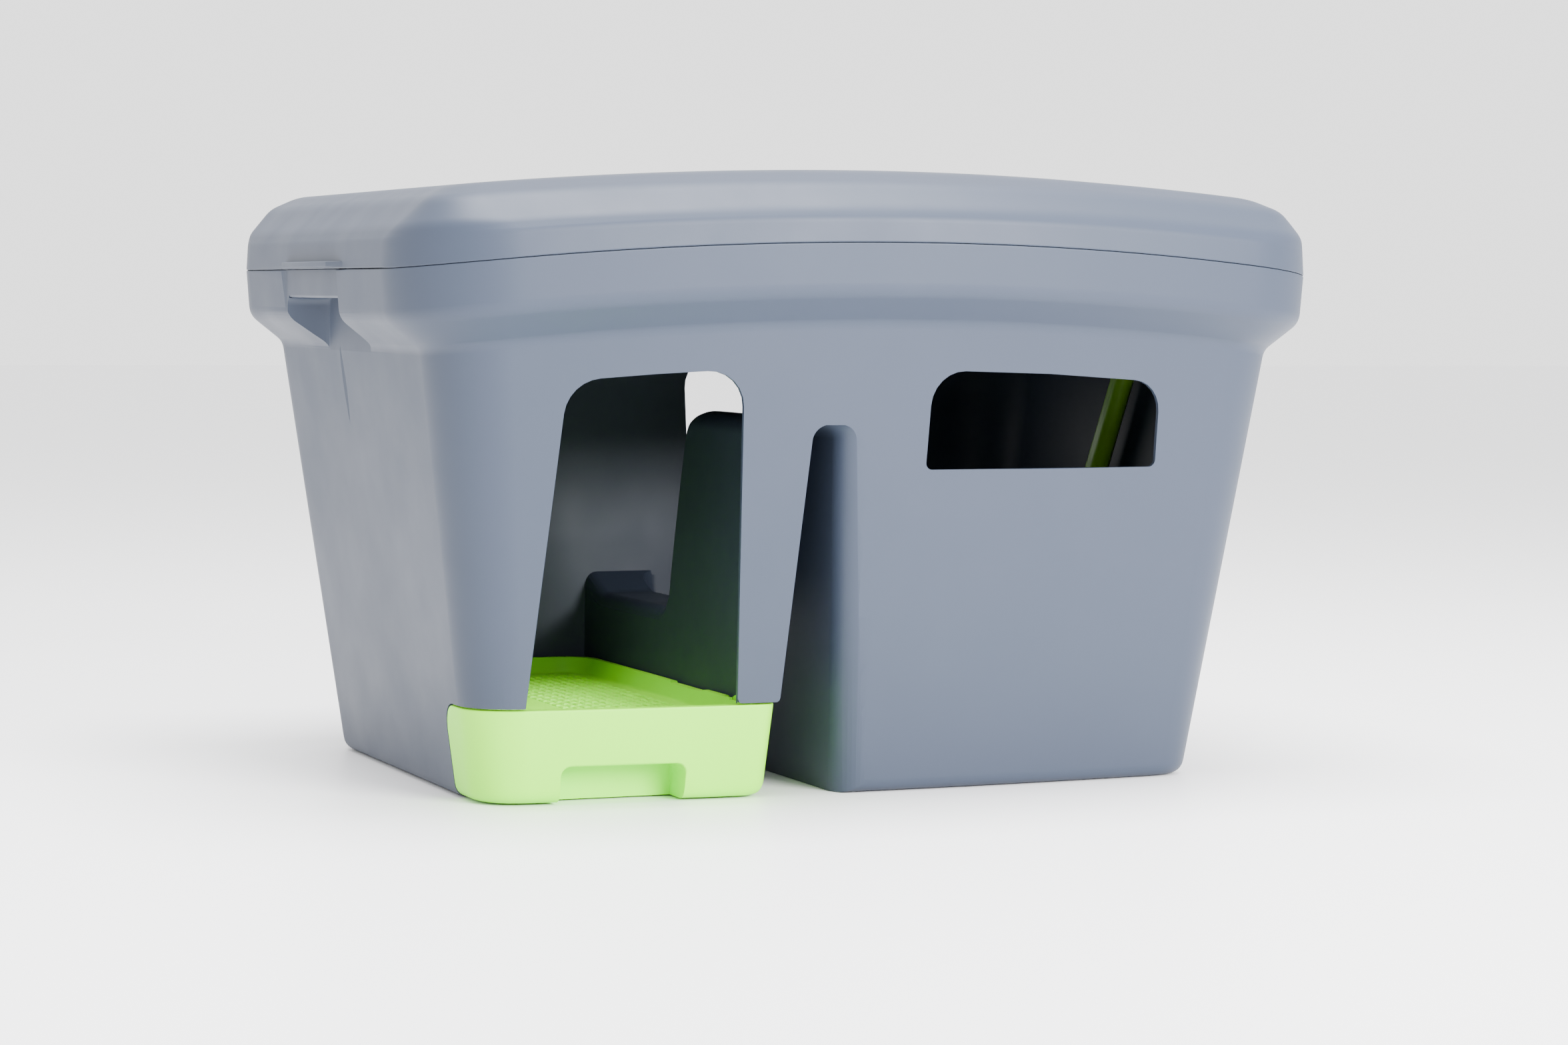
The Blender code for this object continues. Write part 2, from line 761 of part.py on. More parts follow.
def make_lid(parts, cutters, material):
    lid = add_object("lid", loft_mesh("lid", [ring(level) for level in lid_levels()]), parts, material)
    lid.data.shade_smooth()
    for side, label in SIDES:
        low = RIM_HEIGHT + SEAT + LEDGE_LIFT
        ledge = prism_mesh(f"{label}_ledge", ledge_outline(side), "Z", low, low + LEDGE_HEIGHT)
        boolean(lid, add_object(f"{label}_ledge", ledge, cutters), "UNION", "MANIFOLD")
    hollow = add_object("lid_hollow", loft_mesh("lid_hollow", lid_inner_rings()), cutters)
    boolean(lid, hollow)
    lip = add_object("lip_add", loft_mesh("lip_add", lip_rings(), "closed"), cutters)
    bridge = add_object("lip_web", loft_mesh("lip_web", bridge_rings(), "closed"), cutters)
    boolean(lip, bridge, "UNION")
    for side, label in SIDES:
        clear = prism_mesh(
            f"{label}_lip_cut",
            box_outline(RECESS_Y_FRONT - 3 * WALL, RECESS_Y_REAR + 3 * WALL, 0.0, 2 * FAR),
            "X",
            *sorted((side * HALF_LENGTH / 2, side * HALF_LENGTH)),
        )
        boolean(lip, add_object(f"{label}_lip_cut", clear, cutters))
    boolean(lid, lip, "UNION")
    return lid


# Drawer and grid, which both follow the left leg's walls


def leg_ring(z, inward, rear_inward=0.0):
    """The left leg in plan at a height, inward of its walls, and further inward at the rear."""
    level = wall_level(z, inward)
    level = level._replace(rear=level.rear - rear_inward)
    right = slot_edges(z)[0] - inward
    radii = (DRAWER_CORNER_RADIUS, DRAWER_REAR_RADIUS)
    return ring(level, bowed_outline(-level.half_length, right, level.radius, radii, level, steps=5))


def drawer_ring(z, inward):
    return leg_ring(z, inward, DRAWER_REAR_CLEARANCE)


def drawer_mesh(name, heights, inward):
    return loft_mesh(name, [drawer_ring(z, inward) for z in heights])


def front_block(name, cutters, gap):
    """The space of the drawer's front, which wraps round both front corners of the leg."""
    return add_object(name, prism_mesh(name, bay_outline(gap), "X", -FAR, SLOT_X_BASE), cutters)


def notch_sides():
    right = entry_sides()[1] - (NOTCH_LEFT_OF_POST - NOTCH_WIDTH)
    return right - NOTCH_WIDTH, right


def front_face(x, z):
    """y of the tub's front wall at a place."""
    level = wall_level(z)
    return -bowed_y(x, level.half_length, level.front, level.bow)


def notch_mesh(name, grow=0.0):
    left, right = notch_sides()
    outline = rounded(
        [
            (left - grow, -PAST, 0),
            (right + grow, -PAST, 0),
            (right + grow, NOTCH_HEIGHT + grow, NOTCH_RADIUS + grow),
            (left - grow, NOTCH_HEIGHT + grow, NOTCH_RADIUS + grow),
        ]
    )
    rear = front_face((left + right) / 2, 0.0) + NOTCH_DEPTH + grow
    return prism_mesh(name, outline, "Y", -FAR, rear)


def make_drawer(parts, cutters, material):
    inside = WALL + DRAWER_CLEARANCE
    body_low = WALL + SEAT
    edge = BASE_EDGE_RADIUS
    curve = [(DRAWER_LIFT + edge * rise, edge * inset) for rise, inset in BASE_EDGE_CURVE]
    rings = [leg_ring(z, inset) for z, inset in [*curve, (BAY_HEIGHT + PAST, 0.0)]]
    drawer = add_object("drawer", loft_mesh("drawer", rings), parts, material)
    boolean(drawer, front_block("drawer_front_space", cutters, DRAWER_GAP), "INTERSECT")
    body_rings = [
        drawer_ring(body_low, inside + BASE_EDGE_RADIUS),
        drawer_ring(body_low + BASE_EDGE_RADIUS, inside),
        drawer_ring(DRAWER_BODY_HEIGHT, inside),
    ]
    body = add_object("drawer_body", loft_mesh("drawer_body", body_rings), cutters)
    boolean(drawer, body, "UNION")
    inner = inside + DRAWER_WALL
    floor = body_low + DRAWER_WALL
    hollow_rings = [
        drawer_ring(floor, inner + BASE_EDGE_RADIUS),
        drawer_ring(floor + BASE_EDGE_RADIUS, inner),
        drawer_ring(BAY_HEIGHT + WALL, inner),
    ]
    hollow = add_object("drawer_hollow", loft_mesh("drawer_hollow", hollow_rings), cutters)
    boolean(hollow, add_object("notch_wall", notch_mesh("notch_wall", DRAWER_WALL), cutters))
    boolean(drawer, hollow)
    boolean(drawer, add_object("notch_cut", notch_mesh("notch_cut"), cutters))
    return drawer


def make_grid(parts, cutters, material):
    """A shallow drafted tray. Its rim lies on the drawer's walls, and its floor hangs inside them."""
    seat = DRAWER_BODY_HEIGHT + SEAT
    flange_inset = WALL + DRAWER_CLEARANCE
    tray_inset = flange_inset + DRAWER_WALL + GRID_PLAY
    floor_z = seat + GRID_RIM - GRID_DEPTH
    grid = add_object(
        "grid", drawer_mesh("grid", [seat, seat + GRID_RIM], flange_inset), parts, material
    )
    trunk_rings = [
        drawer_ring(floor_z - GRID_FLOOR, tray_inset + GRID_DRAFT),
        drawer_ring(seat + GRID_RIM / 2, tray_inset),
    ]
    trunk = add_object("grid_trunk", loft_mesh("grid_trunk", trunk_rings), cutters)
    boolean(grid, trunk, "UNION")
    hollow_rings = [
        drawer_ring(floor_z, tray_inset + GRID_DRAFT + GRID_FLOOR),
        drawer_ring(seat + GRID_RIM + PAST, tray_inset + GRID_LIP_WIDTH),
    ]
    boolean(grid, add_object("grid_hollow", loft_mesh("grid_hollow", hollow_rings), cutters))
    front = prism_mesh(
        "grid_front_space", box_outline(-FAR, bay_rear() + DRAWER_GAP, 0.0, BAY_HEIGHT), "X", -FAR, 0.0
    )
    front = add_object("grid_front_space", front, cutters)
    kept = drawer_mesh("grid_front_kept", [-WALL, BAY_HEIGHT + WALL], tray_inset)
    boolean(front, add_object("grid_front_kept", kept, cutters))
    boolean(grid, front)
    return grid


# Scoop


def oval(half_x, half_y, steps=16):
    turns = [2 * math.pi * i / steps for i in range(steps)]
    return [(half_x * math.cos(turn), half_y * math.sin(turn)) for turn in turns]


def scoop_grip_mesh(name):
    """An oval grip that hangs down from its eye at the origin, with a collar at its lower end."""
    half_x = SCOOP_GRIP_THICKNESS / 2
    half_y = SCOOP_GRIP_WIDTH / 2
    top = SCOOP_GRIP_WIDTH * 0.6
    sections = [
        (-SCOOP_GRIP_LENGTH - SCOOP_NECK_LENGTH - SCOOP_WALL, 0.70, 0.80),
        (-SCOOP_GRIP_LENGTH - SCOOP_NECK_LENGTH * 0.4, 0.9, 0.9),
        (-SCOOP_GRIP_LENGTH, 1 + SCOOP_COLLAR / half_x, 1 + SCOOP_COLLAR / half_y),
        (-SCOOP_GRIP_LENGTH + SCOOP_COLLAR, 1.0, 1.0),
        (0.0, 1.0, 1.0),
        (top * 0.65, 0.92, 0.86),
        (top, 0.60, 0.45),
    ]
    rings = []
    for z, share_x, share_y in sections:
        outline = oval(half_x * share_x, half_y * share_y)
        rings.append([Vector((x, y, z)) for x, y in outline])
    return loft_mesh(name, rings, "flat")


def scoop_head_mesh(name, inward, reach_out):
    """The head's tapered box, hanging below the neck and open on its inner side."""
    top = -SCOOP_GRIP_LENGTH - SCOOP_NECK_LENGTH - inward
    low = top - SCOOP_HEAD_LENGTH + 2 * inward
    half = SCOOP_HEAD_WIDTH / 2 - inward
    back = SCOOP_GRIP_THICKNESS / 2 - inward
    shoulder = SCOOP_HEAD_LENGTH * 0.18
    outline = rounded(
        [
            (-half * 0.9, low, SMALLEST_RADIUS * 3),
            (half * 0.9, low, SMALLEST_RADIUS * 3),
            (half, top - shoulder, SMALLEST_RADIUS * 3),
            (half * 0.4, top, SMALLEST_RADIUS * 2),
            (-half * 0.4, top, SMALLEST_RADIUS * 2),
            (-half, top - shoulder, SMALLEST_RADIUS * 3),
        ],
        steps=3,
    )
    return prism_mesh(name, outline, "X", back - SCOOP_HEAD_DEPTH - reach_out, back)


def scoop_slot_meshes():
    """The slots that litter falls through, in the head's back."""
    top = -SCOOP_GRIP_LENGTH - SCOOP_NECK_LENGTH
    low = top - SCOOP_HEAD_LENGTH + 4 * SCOOP_WALL
    back = SCOOP_GRIP_THICKNESS / 2
    pitch = SCOOP_HEAD_WIDTH * 0.82 / SCOOP_SLOTS
    for i in range(SCOOP_SLOTS):
        y = (i - (SCOOP_SLOTS - 1) / 2) * pitch
        outline = box_outline(
            y - SCOOP_SLOT_WIDTH / 2,
            y + SCOOP_SLOT_WIDTH / 2,
            low,
            top - SCOOP_HEAD_LENGTH * 0.3,
        )
        yield prism_mesh(f"scoop_slot_{i}", outline, "X", back - 3 * SCOOP_WALL, back + SCOOP_WALL)


def scoop_eye_mesh(name):
    shape = bmesh.new()
    bmesh.ops.create_cone(
        shape,
        cap_ends=True,
        segments=16,
        radius1=SCOOP_EYE_RADIUS,
        radius2=SCOOP_EYE_RADIUS,
        depth=SCOOP_GRIP_THICKNESS * 2,
        matrix=Matrix.Rotation(math.pi / 2, 4, "Y"),
    )
    made = bpy.data.meshes.new(name)
    shape.to_mesh(made)
    shape.free()
    return made


def make_scoop(parts, cutters, material):
    scoop = add_object("scoop", scoop_grip_mesh("scoop"), parts, material)
    head = add_object("scoop_head", scoop_head_mesh("scoop_head", 0.0, 0.0), cutters)
    hollow = scoop_head_mesh("scoop_hollow", SCOOP_WALL, SCOOP_WALL)
    eye = add_object("scoop_eye", scoop_eye_mesh("scoop_eye"), cutters)
    helpers = [head, eye, add_object("scoop_hollow", hollow, cutters)]
    boolean(head, helpers[-1])
    for mesh in scoop_slot_meshes():
        helpers.append(add_object(mesh.name, mesh, cutters))
        boolean(head, helpers[-1])
    boolean(scoop, head, "UNION")
    boolean(scoop, eye)
    hang = peg_centre() - Vector((PEG_LENGTH / 2, 0, 0))
    lean_room = SCOOP_GRIP_THICKNESS / 2 * math.tan(SCOOP_LEAN)
    drop = Vector((0, 0, -(SCOOP_EYE_RADIUS - PEG_RADIUS - lean_room - SEAT)))
    turn = Matrix.Rotation(SCOOP_LEAN, 4, "Y") @ Matrix.Rotation(SCOOP_TILT, 4, "X")
    for piece in (scoop, *helpers):
        piece.matrix_world = Matrix.Translation(hang + drop) @ turn
    return scoop


def build():
    for old in list(bpy.data.objects):
        bpy.data.objects.remove(old, do_unlink=True)
    parts = collection("litter_box")
    cutters = collection("cutters", hidden=True)
    grey = plastic("grey_plastic", GREY, 0.45)
    lime = plastic("lime_plastic", LIME, 0.45)
    green = plastic("green_plastic", GREEN, 0.45)
    make_tub(parts, cutters, grey)
    make_lid(parts, cutters, grey)
    make_drawer(parts, cutters, lime)
    make_grid(parts, cutters, lime)
    make_scoop(parts, cutters, green)


build()
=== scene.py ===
"""Looks of the covered cat litter box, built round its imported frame. Metres, in the frame's own axes."""

import math
from collections import namedtuple

import bmesh
import bpy
from mathutils import Matrix, Vector


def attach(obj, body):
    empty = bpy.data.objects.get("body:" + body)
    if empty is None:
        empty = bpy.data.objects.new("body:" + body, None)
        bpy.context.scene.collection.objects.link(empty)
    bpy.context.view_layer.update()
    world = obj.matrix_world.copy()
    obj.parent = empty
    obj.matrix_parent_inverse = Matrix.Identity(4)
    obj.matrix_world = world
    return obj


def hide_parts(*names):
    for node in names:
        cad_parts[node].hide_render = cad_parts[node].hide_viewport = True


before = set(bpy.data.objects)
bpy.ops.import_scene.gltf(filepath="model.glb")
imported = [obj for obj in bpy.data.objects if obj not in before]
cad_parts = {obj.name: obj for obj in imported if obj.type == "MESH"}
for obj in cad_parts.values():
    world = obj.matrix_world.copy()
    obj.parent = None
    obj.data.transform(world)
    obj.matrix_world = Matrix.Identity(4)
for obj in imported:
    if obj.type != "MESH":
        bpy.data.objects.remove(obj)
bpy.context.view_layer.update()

# Rim, at the line where the lid meets the tub
RIM_LENGTH = 0.700
RIM_DEPTH = 0.547
RIM_BOW = 0.0275
REAR_BOW = 0.004
RIM_RADIUS = 0.085
RIM_ARCH = 0.021
BAND_HEIGHT = 0.034
BAND_INSET = 0.0025
CHAMFER_HEIGHT = 0.020

# Tub walls
WALL = 0.003
WALL_HEIGHT = 0.315
WALL_TOP_INSET = 0.0275
WALL_TOP_BOW = 0.026
WALL_TOP_RADIUS = 0.056
WALL_TOP_ARCH = 0.020
BASE_INSET_LENGTH = 0.072
BASE_INSET_FRONT = 0.0870
BASE_INSET_REAR = 0.068
BASE_BOW = 0.0144
BASE_RADIUS = 0.034
SMALLEST_RADIUS = 0.003

# Slot between the two legs
SLOT_X_BASE = -0.0435
SLOT_X_TOP = -0.0465
SLOT_WIDTH_BASE = 0.054
SLOT_WIDTH_TOP = 0.021
SLOT_ROOF_DROP = 0.051
SLOT_CORNER_RADIUS = 0.022

# Passage over the sill at the rear of the partition
SILL_HEIGHT = 0.116
PASSAGE_FRONT_Y = 0.0045
PASSAGE_SLOPE = 0.029
PASSAGE_TOP_RADIUS = 0.030
PASSAGE_SILL_RADIUS = 0.020
SILL_FLARE_LENGTH = 0.034
SILL_FLARE_RISE = 0.014
SILL_FLARE_RADIUS = 0.030

# Entry opening over the drawer
POST_WIDTH = 0.031
ENTRY_OUTER_MARGIN = 0.037
ENTRY_TAPER_OUTER = 0.016
ENTRY_TAPER_POST = 0.013
ENTRY_TOP_DROP = 0.0298
ENTRY_CORNER_RADIUS = 0.026
ENTRY_OVERLAP = 0.010

# Windows, of one shape in the front and the rear wall
WINDOW_FROM_SLOT = 0.066
REAR_WINDOW_FROM_SLOT = 0.0605
WINDOW_LENGTH = 0.186
WINDOW_TAPER = 0.002
WINDOW_HEIGHT = 0.0503
WINDOW_TOP_DROP = 0.0327
WINDOW_TOP_RADIUS = 0.024
WINDOW_BOTTOM_RADIUS = 0.005

# Hand recess in each end of the rim
RECESS_Y_FRONT = -0.060
RECESS_Y_REAR = 0.081
RECESS_DEPTH = 0.028
RECESS_CORNER_RADIUS = 0.018
RECESS_ROOF = 0.007
RECESS_SILL_DROP = 0.015
RECESS_SKIN_DROP = 0.030
GRIP_HEIGHT = 0.020
GRIP_THICKNESS = 0.006
GRIP_SET_BACK = 0.0015
GRIP_SHOULDER = 0.012

# Drawer bay in the front of the left leg
BAY_HEIGHT = 0.0685
BAY_DEPTH = 0.0702
BAY_CORNER_RADIUS = 0.020

# Drawer
DRAWER_GAP = 0.0012
DRAWER_CLEARANCE = 0.0025
DRAWER_REAR_CLEARANCE = 0.013
DRAWER_WALL = 0.0025
DRAWER_LIFT = 0.0008
DRAWER_BODY_HEIGHT = 0.0611
DRAWER_REAR_RADIUS = 0.024
DRAWER_CORNER_RADIUS = 0.0145
NOTCH_LEFT_OF_POST = 0.1245
NOTCH_WIDTH = 0.0895
NOTCH_HEIGHT = 0.027
NOTCH_DEPTH = 0.026
NOTCH_RADIUS = 0.007

# Grid insert on the drawer
GRID_RIM = 0.0035
GRID_DEPTH = 0.0120
GRID_FLOOR = 0.0025
GRID_DRAFT = 0.0040
GRID_PLAY = 0.0012
GRID_LIP_WIDTH = 0.0015

# Lid
LID_BAND_HEIGHT = 0.019
LID_BAND_INSET = 0.001
LID_SHOULDER_RISE = 0.0375
LID_TOP_RISE = 0.002
LID_TOP_INSET = 0.020
LID_TOP_ARCH = 0.013
LID_WALL = 0.003
LID_LIP_DEPTH = 0.009
LID_LIP_PLAY = 0.0012
LID_WEB_RISE = 0.0048
LEDGE_Y_FRONT = -0.068
LEDGE_Y_REAR = 0.073
LEDGE_REACH = 0.007
LEDGE_HEIGHT = 0.0045
LEDGE_LIFT = 0.0009
LEDGE_SLANT = 0.0098
LEDGE_ROOT = 0.0018

# Scoop, and the peg that it hangs on
PEG_RADIUS = 0.004
PEG_LENGTH = 0.022
PEG_Y = -0.0145
PEG_DROP = 0.036
SCOOP_GRIP_LENGTH = 0.128
SCOOP_NECK_LENGTH = 0.024
SCOOP_GRIP_WIDTH = 0.022
SCOOP_GRIP_THICKNESS = 0.017
SCOOP_COLLAR = 0.0015
SCOOP_EYE_RADIUS = 0.0065
SCOOP_HEAD_LENGTH = 0.115
SCOOP_HEAD_WIDTH = 0.100
SCOOP_HEAD_DEPTH = 0.026
SCOOP_WALL = 0.0025
SCOOP_SLOTS = 7
SCOOP_SLOT_WIDTH = 0.007
SCOOP_TILT = math.radians(17)
SCOOP_LEAN = math.radians(8.5)

# Clearance between faces that rest on each other, and how far a cutter passes the face that it cuts
SEAT = 0.0004
PAST = 0.010

# How steep the rim's slope is, and how much thicker a sloped wall is when it is measured level
RIM_SLOPE_ANGLE = math.radians(22)
SLOPED_WALL_SHARE = 1.03

# How finely the curves are cut
CORNER_STEPS = 14
SIDE_STEPS = 40
INNER_SIDE_STEPS = 41
LIP_SIDE_STEPS = 39
SMALL_STEPS = 10
FAR = 0.45

# Sizes that follow from the ones above
HALF_LENGTH = RIM_LENGTH / 2
HALF_DEPTH = RIM_DEPTH / 2
RIM_HEIGHT = WALL_HEIGHT + CHAMFER_HEIGHT + BAND_HEIGHT
CREASE_HEIGHT = WALL_HEIGHT + CHAMFER_HEIGHT
SLOT_ROOF = WALL_HEIGHT - SLOT_ROOF_DROP
PARTITION_TOP = SLOT_ROOF + WALL

# Roundings and surface detail that the frame leaves out
BASE_REACH = 0.0100
WALL_TOP_REACH = 0.0050
CREASE_REACH = 0.0070
EDGE_REACH = 0.0011
DRAWER_TOP_REACH = EDGE_REACH * 1.6
ENTRY_EDGE = (0.0040, 0.0014)
WINDOW_EDGE = (0.0012, 0.0012)
SILL_EDGE = 0.0100
POST_CORNER = 0.0028
GRIP_EDGE = 0.0022
GRIP_CORNER = 0.0060
RECESS_FLARE_IN = 0.0260
RECESS_FLARE_OUT = 0.0080
RECESS_INNER_RADIUS = RECESS_CORNER_RADIUS * 0.5
FINGER_GAP_END = RECESS_FLARE_IN * 0.3
GRIP_FACE_END = GRIP_SHOULDER * 0.3
GRIP_STEP = 0.0010
SLOT_FLARE_ANGLE = math.radians(84)
SLOT_ROOF_ANGLE = math.radians(78)
SOFT_MIDDLE = 0.3
SLIT_Y = 0.0300
SLIT_LOW = 0.2570
SLIT_HIGH = 0.3170
SLIT_WIDTH = 0.0090
SLIT_DEPTH = 0.0026
SLIT_LEAN = 0.6
SLIT_TIP_SHARE = 0.04
SLIT_TAPER = 0.8
LID_END_GAP = 0.0030
LID_GAP_REACH = 0.190
LID_GAP_SLOPE = 1.6
LID_GAP_START = HALF_LENGTH * 0.86
LID_GAP_BLEND = HALF_LENGTH * 0.1
PAD_PITCH_X = 0.0080
PAD_PITCH_Y = 0.0150
PAD_LENGTH = 0.0105
PAD_WIDTH = 0.0048
PAD_HEIGHT = 0.0010
PAD_UPRIGHT = PAD_HEIGHT * 0.3
PLAIN_PATCH = (-0.215, -0.185, -0.06, 0.02)
GRID_BORDER = 0.0100
GRID_NOTCH_DEPTH = 0.0014
GRID_NOTCHES = ((-0.076, -0.008), (-0.200, -0.129))

# The lid's section from its band up, as (inset, rise, rounding)
LID_SECTION = (
    (0.0010, 0.0190, 0.0030),
    (0.0054, 0.0275, 0.0050),
    (0.0149, 0.0370, 0.0055),
    (0.0241, 0.0471, 0.0060),
    (0.0430, 0.0565, 0.0080),
)
LID_TOP_RADIUS = 0.024

# The plastics' colours, as linear light
GREY = (0.033, 0.043, 0.067)
LIME = (0.26, 0.78, 0.015)
GREEN = (0.20, 0.45, 0.02)

SIDES = ((-1, "left"), (1, "right"))
Level = namedtuple("Level", "z half_length front bow rear rear_bow radius arch")


def bowed_y(x, half_length, depth, bow):
    """How far out a bowed wall is at x. depth is at its middle, and bow is how much its ends draw in."""
    return depth - bow * (x / half_length) ** 2


def corner_arc(x_edge, side, radius, half_length, depth, bow, steps):
    """The rounded corner between a bowed front and the end at x_edge; side is 1 or -1."""
    centre_x = x_edge - side * radius
    touch = centre_x
    angle = 0.0
    for _ in range(6):
        angle = math.atan(2 * bow * touch / half_length**2)
        touch = centre_x + radius * math.sin(angle)
    centre_y = radius * math.cos(angle) - bowed_y(touch, half_length, depth, bow)
    first = -math.pi / 2 + angle
    last = 0.0 if side > 0 else -math.pi
    turns = [first + (last - first) * i / steps for i in range(steps + 1)]
    return [(centre_x + radius * math.cos(a), centre_y + radius * math.sin(a)) for a in turns]


def bowed_side(x_min, x_max, radius_min, radius_max, half_length, depth, bow, steps, side_steps):
    """A bowed front with a rounded corner at each end, from left to right."""
    left = corner_arc(x_min, -1, radius_min, half_length, depth, bow, steps)[::-1]
    right = corner_arc(x_max, 1, radius_max, half_length, depth, bow, steps)
    start = left[-1][0]
    span = right[0][0] - start
    middle = []
    for i in range(1, side_steps):
        x = start + span * i / side_steps
        middle.append((x, -bowed_y(x, half_length, depth, bow)))
    return left + middle + right


def bowed_outline(x_min, x_max, radius_min, radii_max, level, steps=CORNER_STEPS, side_steps=SIDE_STEPS):
    """The front from left to right, then the rear back again; radii_max are the front and rear one."""
    shapes = (radii_max[0], level.front, level.bow), (radii_max[1], level.rear, level.rear_bow)
    front, rear = [
        bowed_side(x_min, x_max, radius_min, radius, level.half_length, depth, bow, steps, side_steps)
        for radius, depth, bow in shapes
    ]
    return front + [(x, -y) for x, y in reversed(rear)]


def ring(level, outline=None, side_steps=SIDE_STEPS):
    """A level's outline as points, lifted by the arch of its height.

    Surfaces that cut each other take different side steps, so that their edges don't meet head on.
    """
    if outline is None:
        half = level.half_length
        radii = (level.radius, level.radius)
        outline = bowed_outline(-half, half, level.radius, radii, level, side_steps=side_steps)
    return [
        Vector((x, y, level.z + level.arch * (1 - (x / level.half_length) ** 2)))
        for x, y in outline
    ]


def mesh_object(name, shape):
    """Turns a bmesh into an object and frees it."""
    bmesh.ops.recalc_face_normals(shape, faces=shape.faces)
    mesh = bpy.data.meshes.new(name)
    shape.to_mesh(mesh)
    shape.free()
    return wrap(name, mesh)


def wrap(name, mesh):
    made = bpy.data.objects.new(name, mesh)
    bpy.context.scene.collection.objects.link(made)
    return made


def loft_mesh(name, rings, caps="strips"):
    """Joins rings of equal count; caps are strips from front to rear, one flat face, or a closed hoop."""
    shape = bmesh.new()
    rows = [[shape.verts.new(point) for point in points] for points in rings]
    count = len(rows[0])
    pairs = list(zip(rows, rows[1:]))
    if caps == "closed":
        pairs.append((rows[-1], rows[0]))
    for low, high in pairs:
        for i in range(count):
            j = (i + 1) % count
            shape.faces.new((low[i], low[j], high[j], high[i]))
    if caps == "flat":
        shape.faces.new(rows[0][::-1])
        shape.faces.new(rows[-1])
    if caps == "strips":
        for i in range(count // 2 - 1):
            strip = (i, i + 1, count - 2 - i, count - 1 - i)
            shape.faces.new([rows[0][k] for k in reversed(strip)])
            shape.faces.new([rows[-1][k] for k in strip])
    bmesh.ops.triangulate(shape, faces=[face for face in shape.faces if len(face.verts) == 4])
    bmesh.ops.recalc_face_normals(shape, faces=shape.faces)
    made = bpy.data.meshes.new(name)
    shape.to_mesh(made)
    shape.free()
    return made


def loft(name, rings, caps="strips"):
    return wrap(name, loft_mesh(name, rings, caps))


def prism(name, outline, axis, low, high):
    return wrap(name, prism_mesh(name, outline, axis, low, high))


def soft_section(section, steps=6):
    """Rounds a loft's section: each (ring, reach) with a reach becomes a curve through that corner."""
    rings = [section[0][0]]
    for (before, _), (here, reach), (after, _) in zip(section, section[1:], section[2:]):
        if reach == 0:
            rings.append(here)
            continue
        for i in range(steps + 1):
            t = i / steps
            points = []
            for a, b, c in zip(before, here, after):
                start = b + (a - b) * min(0.5, reach / max((a - b).length, 1e-6))
                end = b + (c - b) * min(0.5, reach / max((c - b).length, 1e-6))
                points.append((1 - t) ** 2 * start + 2 * t * (1 - t) * b + t**2 * end)
            rings.append(points)
    rings.append(section[-1][0])
    return rings


def divided(rings, longest=0.030):
    """Puts rings in between wherever two are far apart."""
    made = [rings[0]]
    for low, high in zip(rings, rings[1:]):
        reach = max((b - a).length for a, b in zip(low, high))
        pieces = max(1, math.ceil(reach / longest))
        for i in range(1, pieces + 1):
            made.append([a.lerp(b, i / pieces) for a, b in zip(low, high)])
    return made


def grown(outline, amount):
    """A closed 2D outline moved outwards by an amount."""
    points = [Vector(point) for point in outline]
    area = sum(a.x * b.y - b.x * a.y for a, b in zip(points, points[1:] + points[:1]))
    side = 1 if area > 0 else -1
    made = []
    for i, here in enumerate(points):
        into = (here - points[i - 1]).normalized()
        out = (points[(i + 1) % len(points)] - here).normalized()
        normal = Vector((into.y + out.y, -into.x - out.x)) * side
        normal.normalize()
        slant = max(0.3, normal.dot(Vector((out.y, -out.x)) * side))
        made.append(tuple(here + normal * amount / slant))
    return made


def cut(target, cutter, operation="DIFFERENCE", solver="EXACT"):
    """Applies a Boolean straight away and removes the cutter."""
    made = target.modifiers.new(cutter.name, "BOOLEAN")
    made.operation = operation
    made.solver = solver
    made.object = cutter
    graph = bpy.context.evaluated_depsgraph_get()
    mesh = bpy.data.meshes.new_from_object(target.evaluated_get(graph))
    target.modifiers.remove(made)
    old = target.data
    target.data = mesh
    bpy.data.meshes.remove(old)
    bpy.data.objects.remove(cutter)


def smooth(piece, angle=32):
    """Welds the piece's stray seams and shades it round everywhere but at its real edges."""
    shape = bmesh.new()
    shape.from_mesh(piece.data)
    bmesh.ops.remove_doubles(shape, verts=shape.verts, dist=2e-6)
    bmesh.ops.dissolve_degenerate(shape, edges=shape.edges, dist=2e-6)
    shape.to_mesh(piece.data)
    shape.free()
    piece.data.shade_smooth()
    piece.data.set_sharp_from_angle(angle=math.radians(angle))
    weighted = piece.modifiers.new("weighted normals", "WEIGHTED_NORMAL")
    weighted.keep_sharp = True


def rounded(corners, steps=SMALL_STEPS):
    """A closed outline from (a, b, radius) corners, each rounded by an arc of its own radius."""
    points = []
    for i, (a, b, radius) in enumerate(corners):
        here = Vector((a, b))
        if radius == 0:
            points.append((a, b))
            continue
        before = (Vector(corners[i - 1][:2]) - here).normalized()
        after = (Vector(corners[(i + 1) % len(corners)][:2]) - here).normalized()
        half_angle = before.angle(after) / 2
        reach = radius / math.tan(half_angle)
        centre = here + (before + after).normalized() * (radius / math.sin(half_angle))
        start = here + before * reach - centre
        turn = start.angle_signed(here + after * reach - centre)
        for k in range(steps + 1):
            spun = Matrix.Rotation(-turn * k / steps, 2) @ start
            points.append(tuple(centre + spun))
    return points


